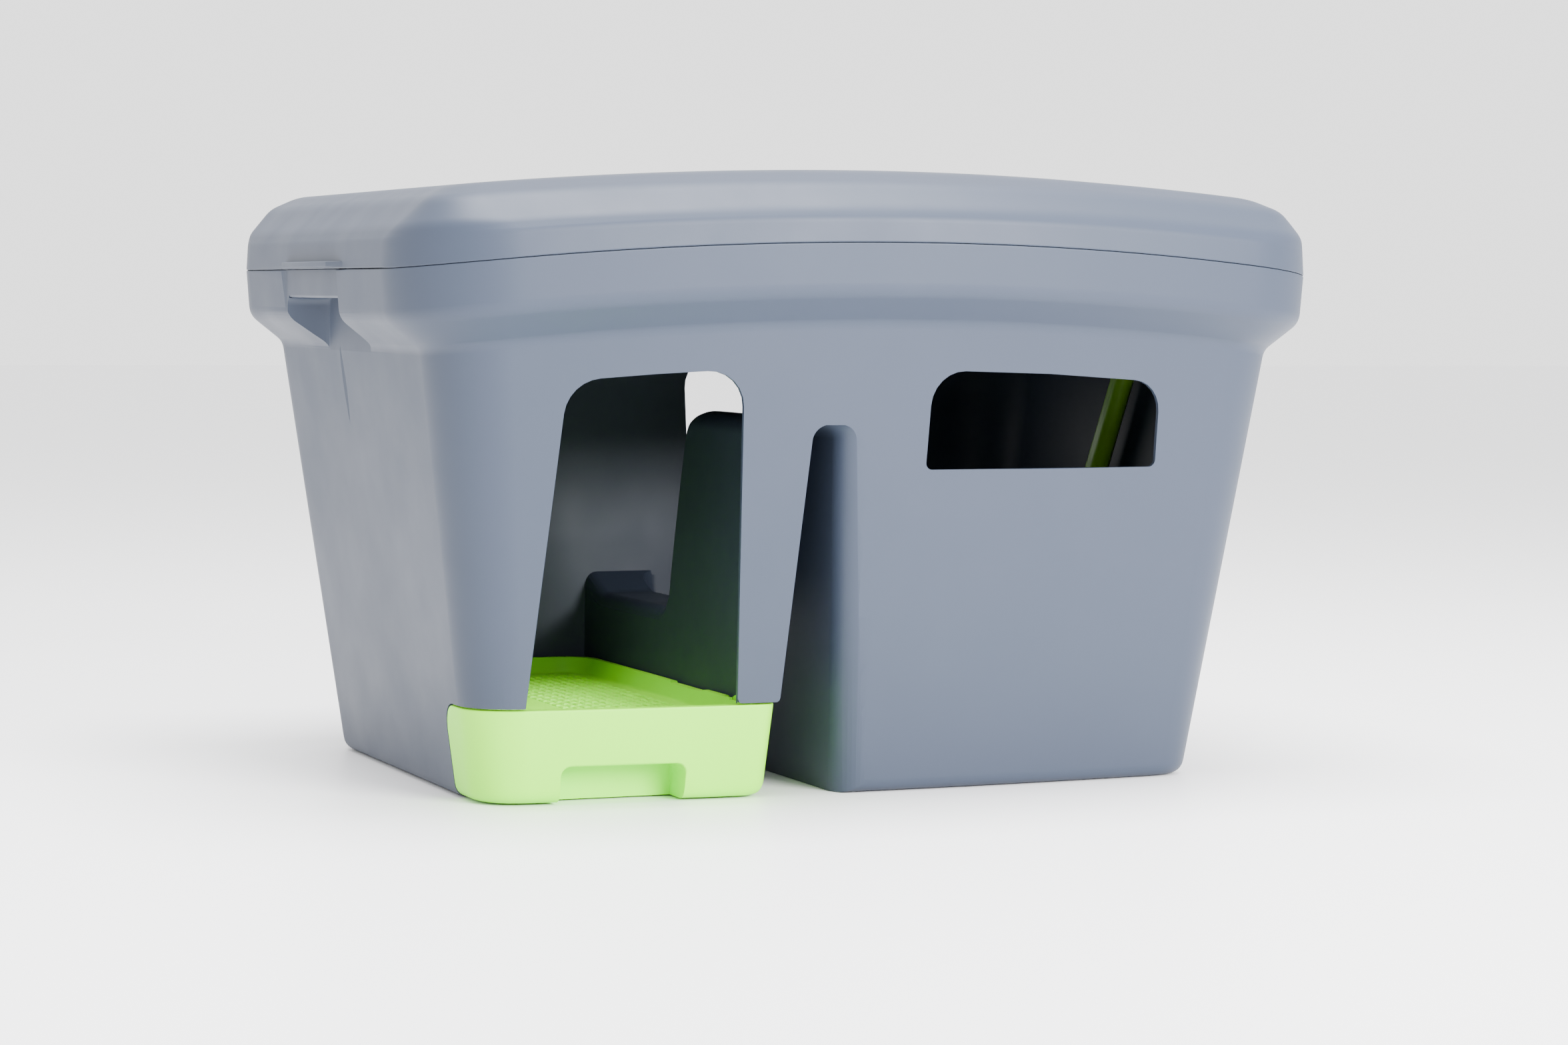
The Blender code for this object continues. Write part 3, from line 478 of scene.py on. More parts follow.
def prism_mesh(name, outline, axis, low, high):
    """Extrudes an outline along X, Y or Z; the outline is in the other two, in alphabetical order."""
    place = {
        "X": lambda a, b: (low, a, b),
        "Y": lambda a, b: (a, low, b),
        "Z": lambda a, b: (a, b, low),
    }[axis]
    reach = [0.0, 0.0, 0.0]
    reach["XYZ".index(axis)] = high - low
    shape = bmesh.new()
    face = shape.faces.new([shape.verts.new(place(a, b)) for a, b in outline])
    grown = bmesh.ops.extrude_face_region(shape, geom=[face])
    moved = [item for item in grown["geom"] if isinstance(item, bmesh.types.BMVert)]
    bmesh.ops.translate(shape, verts=moved, vec=reach)
    bmesh.ops.recalc_face_normals(shape, faces=shape.faces)
    made = bpy.data.meshes.new(name)
    shape.to_mesh(made)
    shape.free()
    return made


def box_outline(a_low, a_high, b_low, b_high):
    return [(a_low, b_low), (a_high, b_low), (a_high, b_high), (a_low, b_high)]


def mix(low, high, share):
    return low + (high - low) * share


def wall_level(z, inward=0.0):
    """The tub's wall at a height, or a surface that lies inward of it."""
    share = z / WALL_HEIGHT
    return Level(
        z,
        HALF_LENGTH - mix(BASE_INSET_LENGTH, WALL_TOP_INSET, share) - inward,
        HALF_DEPTH - mix(BASE_INSET_FRONT, WALL_TOP_INSET, share) - inward,
        mix(BASE_BOW, WALL_TOP_BOW, share),
        HALF_DEPTH - mix(BASE_INSET_REAR, WALL_TOP_INSET, share) - inward,
        REAR_BOW,
        max(mix(BASE_RADIUS, WALL_TOP_RADIUS, share) - inward, SMALLEST_RADIUS),
        0.0,
    )


def rim_level(z, inset, arch=RIM_ARCH):
    """The rim's outline, or one that lies inside it, at a height."""
    return Level(
        z,
        HALF_LENGTH - inset,
        HALF_DEPTH - inset,
        RIM_BOW,
        HALF_DEPTH - inset,
        REAR_BOW,
        max(RIM_RADIUS - inset, SMALLEST_RADIUS),
        arch,
    )


def slot_edges(z):
    """Left and right x of the slot at a height."""
    share = z / SLOT_ROOF
    centre = mix(SLOT_X_BASE, SLOT_X_TOP, share)
    half = mix(SLOT_WIDTH_BASE, SLOT_WIDTH_TOP, share) / 2
    return centre - half, centre + half


def slot_outline(z, left, right, corner_x, grow):
    """The slot in plan. Its right side flares round the corner of the right leg, front and rear."""
    face = wall_level(z)
    radius = SLOT_CORNER_RADIUS - grow
    flares = []
    for depth in (face.front, face.rear):
        corner_y = depth - SLOT_CORNER_RADIUS
        arc = []
        for i in range(SMALL_STEPS + 1):
            turn = SLOT_FLARE_ANGLE * i / SMALL_STEPS
            x = corner_x - radius * math.cos(turn)
            arc.append((max(x, right), corner_y + radius * math.sin(turn)))
        flares.append([*arc, (arc[-1][0], FAR)])
    front = [(x, -y) for x, y in reversed(flares[0])]
    return [(left, -FAR), *front, *flares[1], (left, FAR)]


def slot_mesh(name, grow=0.0):
    """The slot's void, or the partition round it when it grows by a wall."""
    roof = SLOT_ROOF + grow
    top_radius = SLOT_WIDTH_TOP / 2 + grow
    heights = [(-PAST, 1.0), (0.0, 1.0), (mix(0, roof - top_radius, 0.5), 1.0)]
    for i in range(SMALL_STEPS + 1):
        turn = SLOT_ROOF_ANGLE * i / SMALL_STEPS
        heights.append((roof - top_radius * (1 - math.sin(turn)), math.cos(turn)))
    rings = []
    for z, share in heights:
        left, right = slot_edges(z)
        centre = (left + right) / 2
        left = centre + (left - grow - centre) * share
        right_edge = centre + (right + grow - centre) * share
        corner_x = right + SLOT_CORNER_RADIUS
        corner_x -= (1 - share) * (right + grow - centre)
        outline = slot_outline(max(z, 0.0), left, right_edge, corner_x, grow)
        rings.append([Vector((x, y, z)) for x, y in outline])
    rings[-1] = [Vector((point.x, point.y, roof)) for point in rings[-1]]
    return loft_mesh(name, rings, "flat")


def passage_outline(grow=0.0):
    """Side view of the partition: tall at the front, then sloping down to the sill at the rear."""
    top = SLOT_ROOF + grow
    sill = SILL_HEIGHT - WALL + grow
    back = (grow - WALL) * SLOPED_WALL_SHARE
    slope = PASSAGE_SLOPE / (PARTITION_TOP - SILL_HEIGHT)
    y_top = PASSAGE_FRONT_Y + back + (PARTITION_TOP - top) * slope
    y_sill = PASSAGE_FRONT_Y + back + (PARTITION_TOP - sill) * slope
    y_end = FAR + PAST
    y_flare = wall_level(SILL_HEIGHT, WALL).rear - SILL_FLARE_LENGTH
    flared = sill + SILL_FLARE_RISE * (y_end - y_flare) / SILL_FLARE_LENGTH
    return rounded(
        [
            (-y_end, -2 * PAST, 0),
            (y_end, -2 * PAST, 0),
            (y_end, flared, 0),
            (y_flare, sill, SILL_FLARE_RADIUS),
            (y_sill, sill, PASSAGE_SILL_RADIUS + WALL - grow),
            (y_top, top + SEAT, PASSAGE_TOP_RADIUS - WALL + grow),
            (-y_end, top + SEAT, 0),
        ],
        steps=5,
    )


def arch_rise(x):
    """How far an opening's top edge follows the arch at x."""
    half = HALF_LENGTH - WALL_TOP_INSET
    return WALL_TOP_ARCH * (1 - (x / half) ** 2)


def arched_opening(left_low, right_low, left_top, right_top, low, top, top_radius, low_radius):
    """An opening's front view: straight sides and a top edge that follows the arch."""
    crown = (left_top + right_top) / 2
    return rounded(
        [
            (left_low, low, low_radius),
            (right_low, low, low_radius),
            (right_top, top + arch_rise(right_top), top_radius),
            (crown, top + arch_rise(crown), 0),
            (left_top, top + arch_rise(left_top), top_radius),
        ],
        steps=6,
    )


def entry_sides():
    """x of the entry's edges where it meets the drawer bay."""
    outer = -wall_level(BAY_HEIGHT).half_length + ENTRY_OUTER_MARGIN
    post = slot_edges(BAY_HEIGHT)[0] - POST_WIDTH
    return outer, post


def bay_rear():
    """y of the bay's rear edge, measured back from the front corner of the base."""
    return BAY_DEPTH - wall_level(0.0).front


def bay_outline(gap=0.0):
    """Side view of the drawer bay, or of the drawer's front inside it when a gap is taken off."""
    y_rear = bay_rear() - gap
    return rounded(
        [
            (-FAR, -PAST, 0),
            (y_rear, -PAST, 0),
            (y_rear, BAY_HEIGHT - gap, BAY_CORNER_RADIUS),
            (-FAR, BAY_HEIGHT - gap, 0),
        ]
    )


def recess_block_mesh(side):
    """The space that the skin round a hand recess keeps out of the tub's cavity."""
    inner = HALF_LENGTH - RECESS_DEPTH - WALL
    outline = box_outline(*sorted((side * inner, side * FAR)), RECESS_Y_FRONT - WALL, RECESS_Y_REAR + WALL)
    return prism_mesh("", outline, "Z", WALL_HEIGHT - RECESS_SKIN_DROP, RIM_HEIGHT + RIM_ARCH + 2 * PAST)


def peg_centre():
    return Vector((HALF_LENGTH - RECESS_DEPTH - WALL, PEG_Y, RIM_HEIGHT - PEG_DROP))


# Tub


def rear_face(x, z):
    level = wall_level(z)
    return bowed_y(x, level.half_length, level.rear, level.rear_bow)


def wall_cutter(name, outline, face, y_far, y_inner, edge):
    """A prism through a wall whose mouth flares at the wall's outer face, to round the opening's edge."""
    outward = math.copysign(1.0, y_far)
    width, deep = edge
    rings = [[Vector((x, y_far, z)) for x, z in grown(outline, width)]]
    for i in range(7):
        turn = math.pi / 2 * i / 6
        depth = deep * (1 - math.cos(turn)) - (SEAT if i == 0 else 0.0)
        wide = grown(outline, width * (1 - math.sin(turn)))
        rings.append([Vector((x, face(x, z) - outward * depth, z)) for x, z in wide])
    rings.append([Vector((x, y_inner, z)) for x, z in outline])
    return loft(name, rings, "flat")


def tub_rings():
    top = wall_level(WALL_HEIGHT)._replace(arch=WALL_TOP_ARCH)
    section = [
        (ring(wall_level(0.0, 2 * BASE_REACH)), 0),
        (ring(wall_level(0.0)), BASE_REACH),
        (ring(top), WALL_TOP_REACH),
        (ring(rim_level(CREASE_HEIGHT, BAND_INSET)), CREASE_REACH),
        (ring(rim_level(RIM_HEIGHT, 0.0)), EDGE_REACH),
        (ring(rim_level(RIM_HEIGHT, WALL / 2)), 0),
    ]
    return divided(soft_section(section))


def cavity_rings():
    lift = WALL * math.tan(RIM_SLOPE_ANGLE)
    top = wall_level(WALL_HEIGHT, WALL)._replace(z=WALL_HEIGHT + lift, arch=WALL_TOP_ARCH)
    floor = wall_level(WALL, WALL)
    levels = [
        (wall_level(WALL, WALL + 2 * BASE_REACH), 0),
        (floor, BASE_REACH - WALL),
        (top, WALL_TOP_REACH),
        (rim_level(CREASE_HEIGHT + lift, BAND_INSET + WALL), CREASE_REACH),
        (rim_level(RIM_HEIGHT, WALL), EDGE_REACH),
        (rim_level(RIM_HEIGHT + EDGE_REACH, WALL - EDGE_REACH), 0),
        (rim_level(RIM_HEIGHT + RIM_ARCH + PAST, WALL - EDGE_REACH), 0),
    ]
    section = [(ring(level, side_steps=INNER_SIDE_STEPS), reach) for level, reach in levels]
    return divided(soft_section(section))


def slot_void(grow=0.0):
    """The slot, whose long edges are rounded where they run along the sill."""
    void = wrap("slot", slot_mesh("slot", grow))
    outline = [(y, z if z > 0 else -FAR) for y, z in passage_outline(grow)]
    left, right = slot_edges(SILL_HEIGHT)
    radius = SILL_EDGE - WALL + grow
    beyond = radius + 2 * (WALL - grow)
    rings = []
    for start, direction in ((left - grow, 1), (right + grow + SLOT_CORNER_RADIUS, -1)):
        side = [(-direction * FAR, beyond), (start - direction * WALL / 3, beyond)]
        for i in range(7):
            turn = math.pi / 2 * i / 6
            side.append((start + direction * radius * (1 - math.cos(turn)), radius * (1 - math.sin(turn))))
        made = []
        for x, inset in side:
            made.append([Vector((x, y, z)) for y, z in grown(outline, -inset)])
        rings.extend(made if direction > 0 else made[::-1])
    cut(void, loft("slot_side", rings, "flat"), "INTERSECT")
    return void


def recess_plan(side, x_inner, y_low, y_high):
    """A hand recess in plan: one crisp end, and one that sweeps out to the band in an S."""
    edge = HALF_LENGTH + SEAT
    y_out = y_high + RECESS_FLARE_OUT
    y_in = y_high - RECESS_FLARE_IN
    corners = [(side * (edge + PAST), y_low, 0), (side * (edge + PAST), y_out, 0)]
    steps = 12
    for i in range(steps + 1):
        share = i / steps
        x = mix(edge, x_inner, share * share * (3 - 2 * share))
        corners.append((side * x, mix(y_out, y_in, share), 0))
    corners.append((side * x_inner, y_low, RECESS_INNER_RADIUS))
    return rounded(corners if side > 0 else corners[::-1])


def recess_rings(side):
    """The opening below the grip, whose top rear corner is round in the side view."""
    back = HALF_LENGTH - RECESS_DEPTH
    grip_low = RIM_HEIGHT - GRIP_HEIGHT
    rings = []
    heights = [(WALL_HEIGHT - RECESS_SILL_DROP, 0.0), (grip_low - GRIP_CORNER, 0.0)]
    for i in range(1, 7):
        turn = math.pi / 2 * i / 6
        heights.append((grip_low - GRIP_CORNER * (1 - math.sin(turn)), GRIP_CORNER * (1 - math.cos(turn))))
    for z, drawn_in in heights:
        plan = recess_plan(side, back, RECESS_Y_FRONT, RECESS_Y_REAR - drawn_in)
        rings.append([Vector((x, y, z)) for x, y in plan])
    return rings


def corner_relief(x, z, side, radius):
    """Rounds a corner in a front view: material lies above z and to the given side of x."""
    centre_x = x + side * radius
    centre_z = z + radius
    arc = []
    for i in range(9):
        turn = math.pi / 2 * i / 8
        arc.append((centre_x - side * radius * math.sin(turn), centre_z - radius * math.cos(turn)))
    return [(centre_x, z - SEAT), *arc, (x - side * SEAT, centre_z), (x - side * SEAT, z - SEAT)]


def grip_cutters(side):
    """The finger gap behind the grip, its set-back face and the rounding of its lower edge."""
    back = HALF_LENGTH - RECESS_DEPTH
    face = HALF_LENGTH - GRIP_SET_BACK - GRIP_STEP
    grip_back = face - GRIP_THICKNESS
    grip_low = RIM_HEIGHT - GRIP_HEIGHT
    corners = [
        (side * grip_back, RECESS_Y_FRONT + SEAT, GRIP_EDGE),
        (side * grip_back, RECESS_Y_REAR - FINGER_GAP_END, GRIP_EDGE),
        (side * (back + SEAT), RECESS_Y_REAR - RECESS_FLARE_IN - SEAT, RECESS_INNER_RADIUS),
        (side * (back + SEAT), RECESS_Y_FRONT + SEAT, RECESS_INNER_RADIUS),
    ]
    gap = rounded(corners[::side])
    yield prism("gap", gap, "Z", WALL_HEIGHT - RECESS_SILL_DROP + PAST, RIM_HEIGHT - RECESS_ROOF)
    plan = [
        (side * (HALF_LENGTH + PAST), RECESS_Y_FRONT - SEAT),
        (side * face, RECESS_Y_FRONT - SEAT),
        (side * face, RECESS_Y_REAR + GRIP_FACE_END),
        (side * (HALF_LENGTH + SEAT), RECESS_Y_REAR + GRIP_SHOULDER),
        (side * (HALF_LENGTH + PAST), RECESS_Y_REAR + GRIP_SHOULDER),
    ]
    yield prism("face", plan, "Z", grip_low - PAST * 1.5, RIM_HEIGHT + RIM_ARCH)
    edge = corner_relief(side * face, grip_low, -side, GRIP_EDGE)
    yield prism("grip_edge", edge, "Y", RECESS_Y_FRONT + SEAT, RECESS_Y_REAR - GRIP_CORNER / 2)


def slit_mesh_rings(side):
    """A shallow sliver of a groove in the end wall, widest at its middle."""
    rings = []
    steps = 16
    for i in range(steps + 1):
        z = mix(SLIT_LOW, SLIT_HIGH, i / steps)
        share = max(SLIT_TIP_SHARE, math.sin(math.pi * i / steps) ** SLIT_TAPER)
        wall = wall_level(z).half_length
        half = SLIT_WIDTH / 2 * share
        points = [
            (wall + SEAT, SLIT_Y - half),
            (wall - SLIT_DEPTH * share, SLIT_Y - half * SLIT_LEAN),
            (wall + SEAT, SLIT_Y + half),
        ]
        rings.append([Vector((side * x, y, z)) for x, y in points])
    return rings


def cut_openings(tub):
    outer, post = entry_sides()
    entry = arched_opening(
        outer,
        post,
        outer + ENTRY_TAPER_OUTER,
        post - ENTRY_TAPER_POST,
        BAY_HEIGHT - ENTRY_OVERLAP,
        WALL_HEIGHT - ENTRY_TOP_DROP,
        ENTRY_CORNER_RADIUS,
        0,
    )
    cut(tub, wall_cutter("entry", entry, front_face, -FAR, -FAR / 4, ENTRY_EDGE))
    for name, from_slot, face, far in (
        ("front_window", WINDOW_FROM_SLOT, front_face, -FAR),
        ("rear_window", REAR_WINDOW_FROM_SLOT, rear_face, FAR),
    ):
        left = slot_edges(SLOT_ROOF)[1] + from_slot
        right = left + WINDOW_LENGTH
        top = WALL_HEIGHT - WINDOW_TOP_DROP
        outline = arched_opening(
            left,
            right,
            left,
            right - WINDOW_TAPER,
            top - WINDOW_HEIGHT,
            top,
            WINDOW_TOP_RADIUS,
            WINDOW_BOTTOM_RADIUS,
        )
        cut(tub, wall_cutter(name, outline, face, far, far / 3, WINDOW_EDGE))
    cut(tub, prism("bay", bay_outline(), "X", -FAR, SLOT_X_BASE), solver="MANIFOLD")
    inner_face = -wall_level(BAY_HEIGHT).front + 2 * WALL
    for x, side in ((post, 1), (slot_edges(BAY_HEIGHT)[0], -1), (outer, -1)):
        relief = corner_relief(x, BAY_HEIGHT, side, POST_CORNER)
        cut(tub, prism("relief", relief, "Y", -FAR, inner_face))


def make_tub():
    tub = loft("tub_moulding", tub_rings())
    cavity = loft("cavity", cavity_rings())
    cut(cavity, slot_void(WALL))
    for side, _ in SIDES:
        cut(cavity, wrap("block", recess_block_mesh(side)))
    cut(tub, cavity)
    cut(tub, slot_void())
    for side, _ in SIDES:
        cut(tub, loft("recess", recess_rings(side), "flat"))
        for cutter in grip_cutters(side):
            cut(tub, cutter)
        cut(tub, loft("slit", slit_mesh_rings(side), "flat"))
    cut_openings(tub)
    shape = bmesh.new()
    length = PEG_LENGTH + WALL / 2
    bmesh.ops.create_cone(
        shape, cap_ends=True, segments=40, radius1=PEG_RADIUS, radius2=PEG_RADIUS * 0.9, depth=length
    )
    turn = Matrix.Rotation(-math.pi / 2, 4, "Y")
    place = Matrix.Translation(peg_centre() + Vector(((WALL / 2 - PEG_LENGTH) / 2, 0, 0)))
    bmesh.ops.transform(shape, matrix=place @ turn, verts=shape.verts)
    cut(tub, mesh_object("peg", shape), "UNION")
    smooth(tub)
    return tub


# Lid


def lip_inset():
    """The lip's outer face stays clear of the tub's band, which draws in as it goes down."""
    return WALL + LID_LIP_PLAY + BAND_INSET * LID_LIP_DEPTH / BAND_HEIGHT


def section_rings(section):
    """Rings through the (inset, rise) corners of a section, measured from the lid's lower edge."""
    rings = []
    for inset, rise in section:
        level = lid_level(0, inset)
        rings.append(ring(level._replace(z=level.z + rise), side_steps=LIP_SIDE_STEPS))
    return rings


def ledge_outline(side):
    """A thumb ledge in plan: straight, with slanted ends that run into the lid."""
    face = HALF_LENGTH - LID_BAND_INSET
    tip = HALF_LENGTH + LEDGE_REACH
    corners = [
        (face - LEDGE_ROOT, LEDGE_Y_FRONT - LEDGE_SLANT),
        (face + SEAT, LEDGE_Y_FRONT - LEDGE_SLANT),
        (tip, LEDGE_Y_FRONT + LEDGE_SLANT),
        (tip, LEDGE_Y_REAR - LEDGE_SLANT),
        (face + SEAT, LEDGE_Y_REAR + LEDGE_SLANT),
        (face - LEDGE_ROOT, LEDGE_Y_REAR + LEDGE_SLANT),
    ]
    return [(side * x, y) for x, y in corners]


def lid_level(rise, inset):
    share = min(1.0, rise / (LID_BAND_HEIGHT + LID_SHOULDER_RISE))
    level = rim_level(RIM_HEIGHT + SEAT + rise, inset, mix(RIM_ARCH, LID_TOP_ARCH, share))
    over = max(0.0, share - LID_BAND_HEIGHT / (LID_BAND_HEIGHT + LID_SHOULDER_RISE))
    over /= 1 - LID_BAND_HEIGHT / (LID_BAND_HEIGHT + LID_SHOULDER_RISE)
    return level._replace(radius=mix(level.radius, max(SMALLEST_RADIUS, LID_TOP_RADIUS), over))


def gapped(points):
    """Lifts a ring's ends a little, where the lid stands off the tub between the hand grips."""
    made = []
    for point in points:
        along = max(0.0, 1 - abs(point.y) / LID_GAP_REACH)
        at_end = min(1.0, max(0.0, (abs(point.x) - LID_GAP_START) / LID_GAP_BLEND))
        lift = LID_END_GAP * min(1.0, LID_GAP_SLOPE * along) * at_end
        made.append(point + Vector((0, 0, lift)))
    return made


def lid_rings(inward, steps):
    """The lid's outer surface, or its inner one at the wall's thickness."""
    top = LID_SECTION[-1]
    section = []
    if inward == 0:
        section.append((gapped(ring(lid_level(0, LID_WALL / 2), side_steps=steps)), 0))
        section.append((gapped(ring(lid_level(0, 0), side_steps=steps)), EDGE_REACH))
    else:
        section.append((ring(lid_level(-PAST, inward), side_steps=steps), 0))
    for i, (inset, rise, reach) in enumerate(LID_SECTION):
        drop = inward * min(1.0, 0.25 * (i + 1))
        level = lid_level(rise, inset + inward)
        section.append((ring(level._replace(z=level.z - drop), side_steps=steps), reach))
    crown = lid_level(top[1] + LID_TOP_RISE, top[0] + LID_TOP_INSET + inward)
    section.append((ring(crown._replace(z=crown.z - inward), side_steps=steps), 0))
    return divided(soft_section(section, 7), 0.012)


def lip_object():
    outer = lip_inset()
    inner = outer + LID_WALL
    up = LID_BAND_HEIGHT * 0.5
    corners = [(outer, -LID_LIP_DEPTH), (inner, -LID_LIP_DEPTH), (inner, up), (outer, up)]
    lip = loft("lip", section_rings(corners), "closed")
    edge = LID_WALL * 0.5
    low = LID_WEB_RISE
    high = low + LID_WALL
    corners = [(edge, low), (inner - edge, low), (inner - edge, high), (edge, high)]
    web = loft("web", section_rings(corners), "closed")
    cut(lip, web, "UNION")
    for side, _ in SIDES:
        outline = box_outline(RECESS_Y_FRONT - 3 * WALL, RECESS_Y_REAR + 3 * WALL, 0.0, 2 * FAR)
        cut(lip, prism("lip_cut", outline, "X", *sorted((side * HALF_LENGTH / 2, side * HALF_LENGTH))))
    return lip


def ledge_object(side):
    """A thumb ledge with rounded edges."""
    low = RIM_HEIGHT + SEAT + LEDGE_LIFT
    soft = LEDGE_HEIGHT / 4
    outline = ledge_outline(side)
    rings = []
    low_edge = [(0, soft), (soft * SOFT_MIDDLE, soft * SOFT_MIDDLE), (soft, 0)]
    for z, inset in [*low_edge, *[(LEDGE_HEIGHT - z, inset) for z, inset in low_edge[::-1]]]:
        rings.append([Vector((x, y, low + z)) for x, y in grown(outline, -inset)])
    return loft("ledge", rings, "flat")


def make_lid():
    lid = loft("lid_moulding", lid_rings(0, SIDE_STEPS))
    for side, _ in SIDES:
        cut(lid, ledge_object(side), "UNION", "MANIFOLD")
    cut(lid, loft("hollow", lid_rings(LID_WALL, INNER_SIDE_STEPS)))
    cut(lid, lip_object(), "UNION")
    smooth(lid)
    return lid


# Drawer and grid, which both follow the left leg's walls


def leg_ring(z, inward, rear_inward=0.0):
    """The left leg in plan at a height, inward of its walls, and further inward at the rear."""
    level = wall_level(z, inward)
    level = level._replace(rear=level.rear - rear_inward)
    right = slot_edges(z)[0] - inward
    radii = (DRAWER_CORNER_RADIUS, DRAWER_REAR_RADIUS)
    return ring(level, bowed_outline(-level.half_length, right, level.radius, radii, level, steps=5))


def drawer_ring(z, inward):
    return leg_ring(z, inward, DRAWER_REAR_CLEARANCE)


def notch_sides():
    right = entry_sides()[1] - (NOTCH_LEFT_OF_POST - NOTCH_WIDTH)
    return right - NOTCH_WIDTH, right


def front_face(x, z):
    """y of the tub's front wall at a place."""
    level = wall_level(z)
    return -bowed_y(x, level.half_length, level.front, level.bow)


def make_drawer():
    inside = WALL + DRAWER_CLEARANCE
    body_low = WALL + SEAT
    top = BAY_HEIGHT - DRAWER_GAP
    lip = DRAWER_TOP_REACH
    front = [
        (leg_ring(DRAWER_LIFT, 2 * BASE_REACH), 0),
        (leg_ring(DRAWER_LIFT, 0.0), BASE_REACH),
        (leg_ring(top, 0.0), lip),
        (leg_ring(top, 2 * lip), 0),
    ]
    drawer = loft("drawer_moulding", divided(soft_section(front), 0.012))
    outline = bay_outline(DRAWER_GAP)
    outline = [(y, z + SEAT / 2 if z > BAY_HEIGHT / 2 else z) for y, z in outline]
    cut(drawer, prism("front_space", outline, "X", -FAR, SLOT_X_BASE), "INTERSECT")
    body = [
        (drawer_ring(body_low, inside + 2 * BASE_REACH), 0),
        (drawer_ring(body_low, inside), BASE_REACH),
        (drawer_ring(DRAWER_BODY_HEIGHT, inside), 0),
    ]
    cut(drawer, loft("body", soft_section(body)), "UNION")
    inner = inside + DRAWER_WALL
    floor = body_low + DRAWER_WALL
    hollow = [
        (drawer_ring(floor, inner + 2 * BASE_REACH), 0),
        (drawer_ring(floor, inner), BASE_REACH),
        (drawer_ring(BAY_HEIGHT + WALL, inner), 0),
    ]
    hollow = loft("hollow", soft_section(hollow))
    cut(hollow, notch_block(DRAWER_WALL))
    cut(drawer, hollow)
    cut(drawer, notch_block(0.0))
    smooth(drawer)
    return drawer


def notch_block(grow):
    """The finger notch in the drawer's front, or the space of its skin when it grows by a wall."""
    left, right = notch_sides()
    outline = rounded(
        [
            (left - grow, -PAST, 0),
            (right + grow, -PAST, 0),
            (right + grow, NOTCH_HEIGHT + grow, NOTCH_RADIUS + grow),
            (left - grow, NOTCH_HEIGHT + grow, NOTCH_RADIUS + grow),
        ]
    )
    rear = front_face((left + right) / 2, 0.0) + NOTCH_DEPTH + grow
    if grow:
        return prism("notch_skin", outline, "Y", -FAR, rear)

    def face(x, z):
        return front_face(x, max(z, 0.0))

    return wall_cutter("notch", outline, face, -FAR, rear, WINDOW_EDGE)


def pad_block(shape, x, y, low):
    """One raised dash with sloping sides."""
    rows = []
    for z, inset in ((-GRID_FLOOR / 2, 0.0), (PAD_UPRIGHT, 0.0), (PAD_HEIGHT, PAD_HEIGHT)):
        half_x = PAD_WIDTH / 2 - inset
        half_y = PAD_LENGTH / 2 - inset
        corners = ((-half_x, -half_y), (half_x, -half_y), (half_x, half_y), (-half_x, half_y))
        rows.append([shape.verts.new((x + a, y + b, low + z)) for a, b in corners])
    for first, second in zip(rows, rows[1:]):
        for i in range(4):
            j = (i + 1) % 4
            shape.faces.new((first[i], first[j], second[j], second[i]))
    shape.faces.new(rows[0][::-1])
    shape.faces.new(rows[-1])


def grid_pads(floor_z, inset):
    """Rows of raised dashes on the grid's floor, with every other row shifted along by half a pitch."""
    shape = bmesh.new()
    level = wall_level(floor_z, inset + GRID_BORDER)
    rear = level.rear - DRAWER_REAR_CLEARANCE
    right = slot_edges(floor_z)[0] - inset - GRID_BORDER
    columns = int((right + level.half_length) / PAD_PITCH_X)
    for i in range(columns):
        x = right - (i + 0.5) * PAD_PITCH_X
        corner = min(level.radius, max(0.0, level.radius - (x + level.half_length)))
        trim = level.radius - math.sqrt(level.radius**2 - corner**2)
        y = trim - bowed_y(x, level.half_length, level.front, level.bow) + PAD_PITCH_Y * (i % 2) / 2
        while y + PAD_LENGTH < rear - trim:
            middle = y + PAD_LENGTH / 2
            plain = PLAIN_PATCH[0] < x < PLAIN_PATCH[1] and PLAIN_PATCH[2] < middle < PLAIN_PATCH[3]
            if not plain:
                pad_block(shape, x, middle, floor_z)
            y += PAD_PITCH_Y
    return mesh_object("pads", shape)


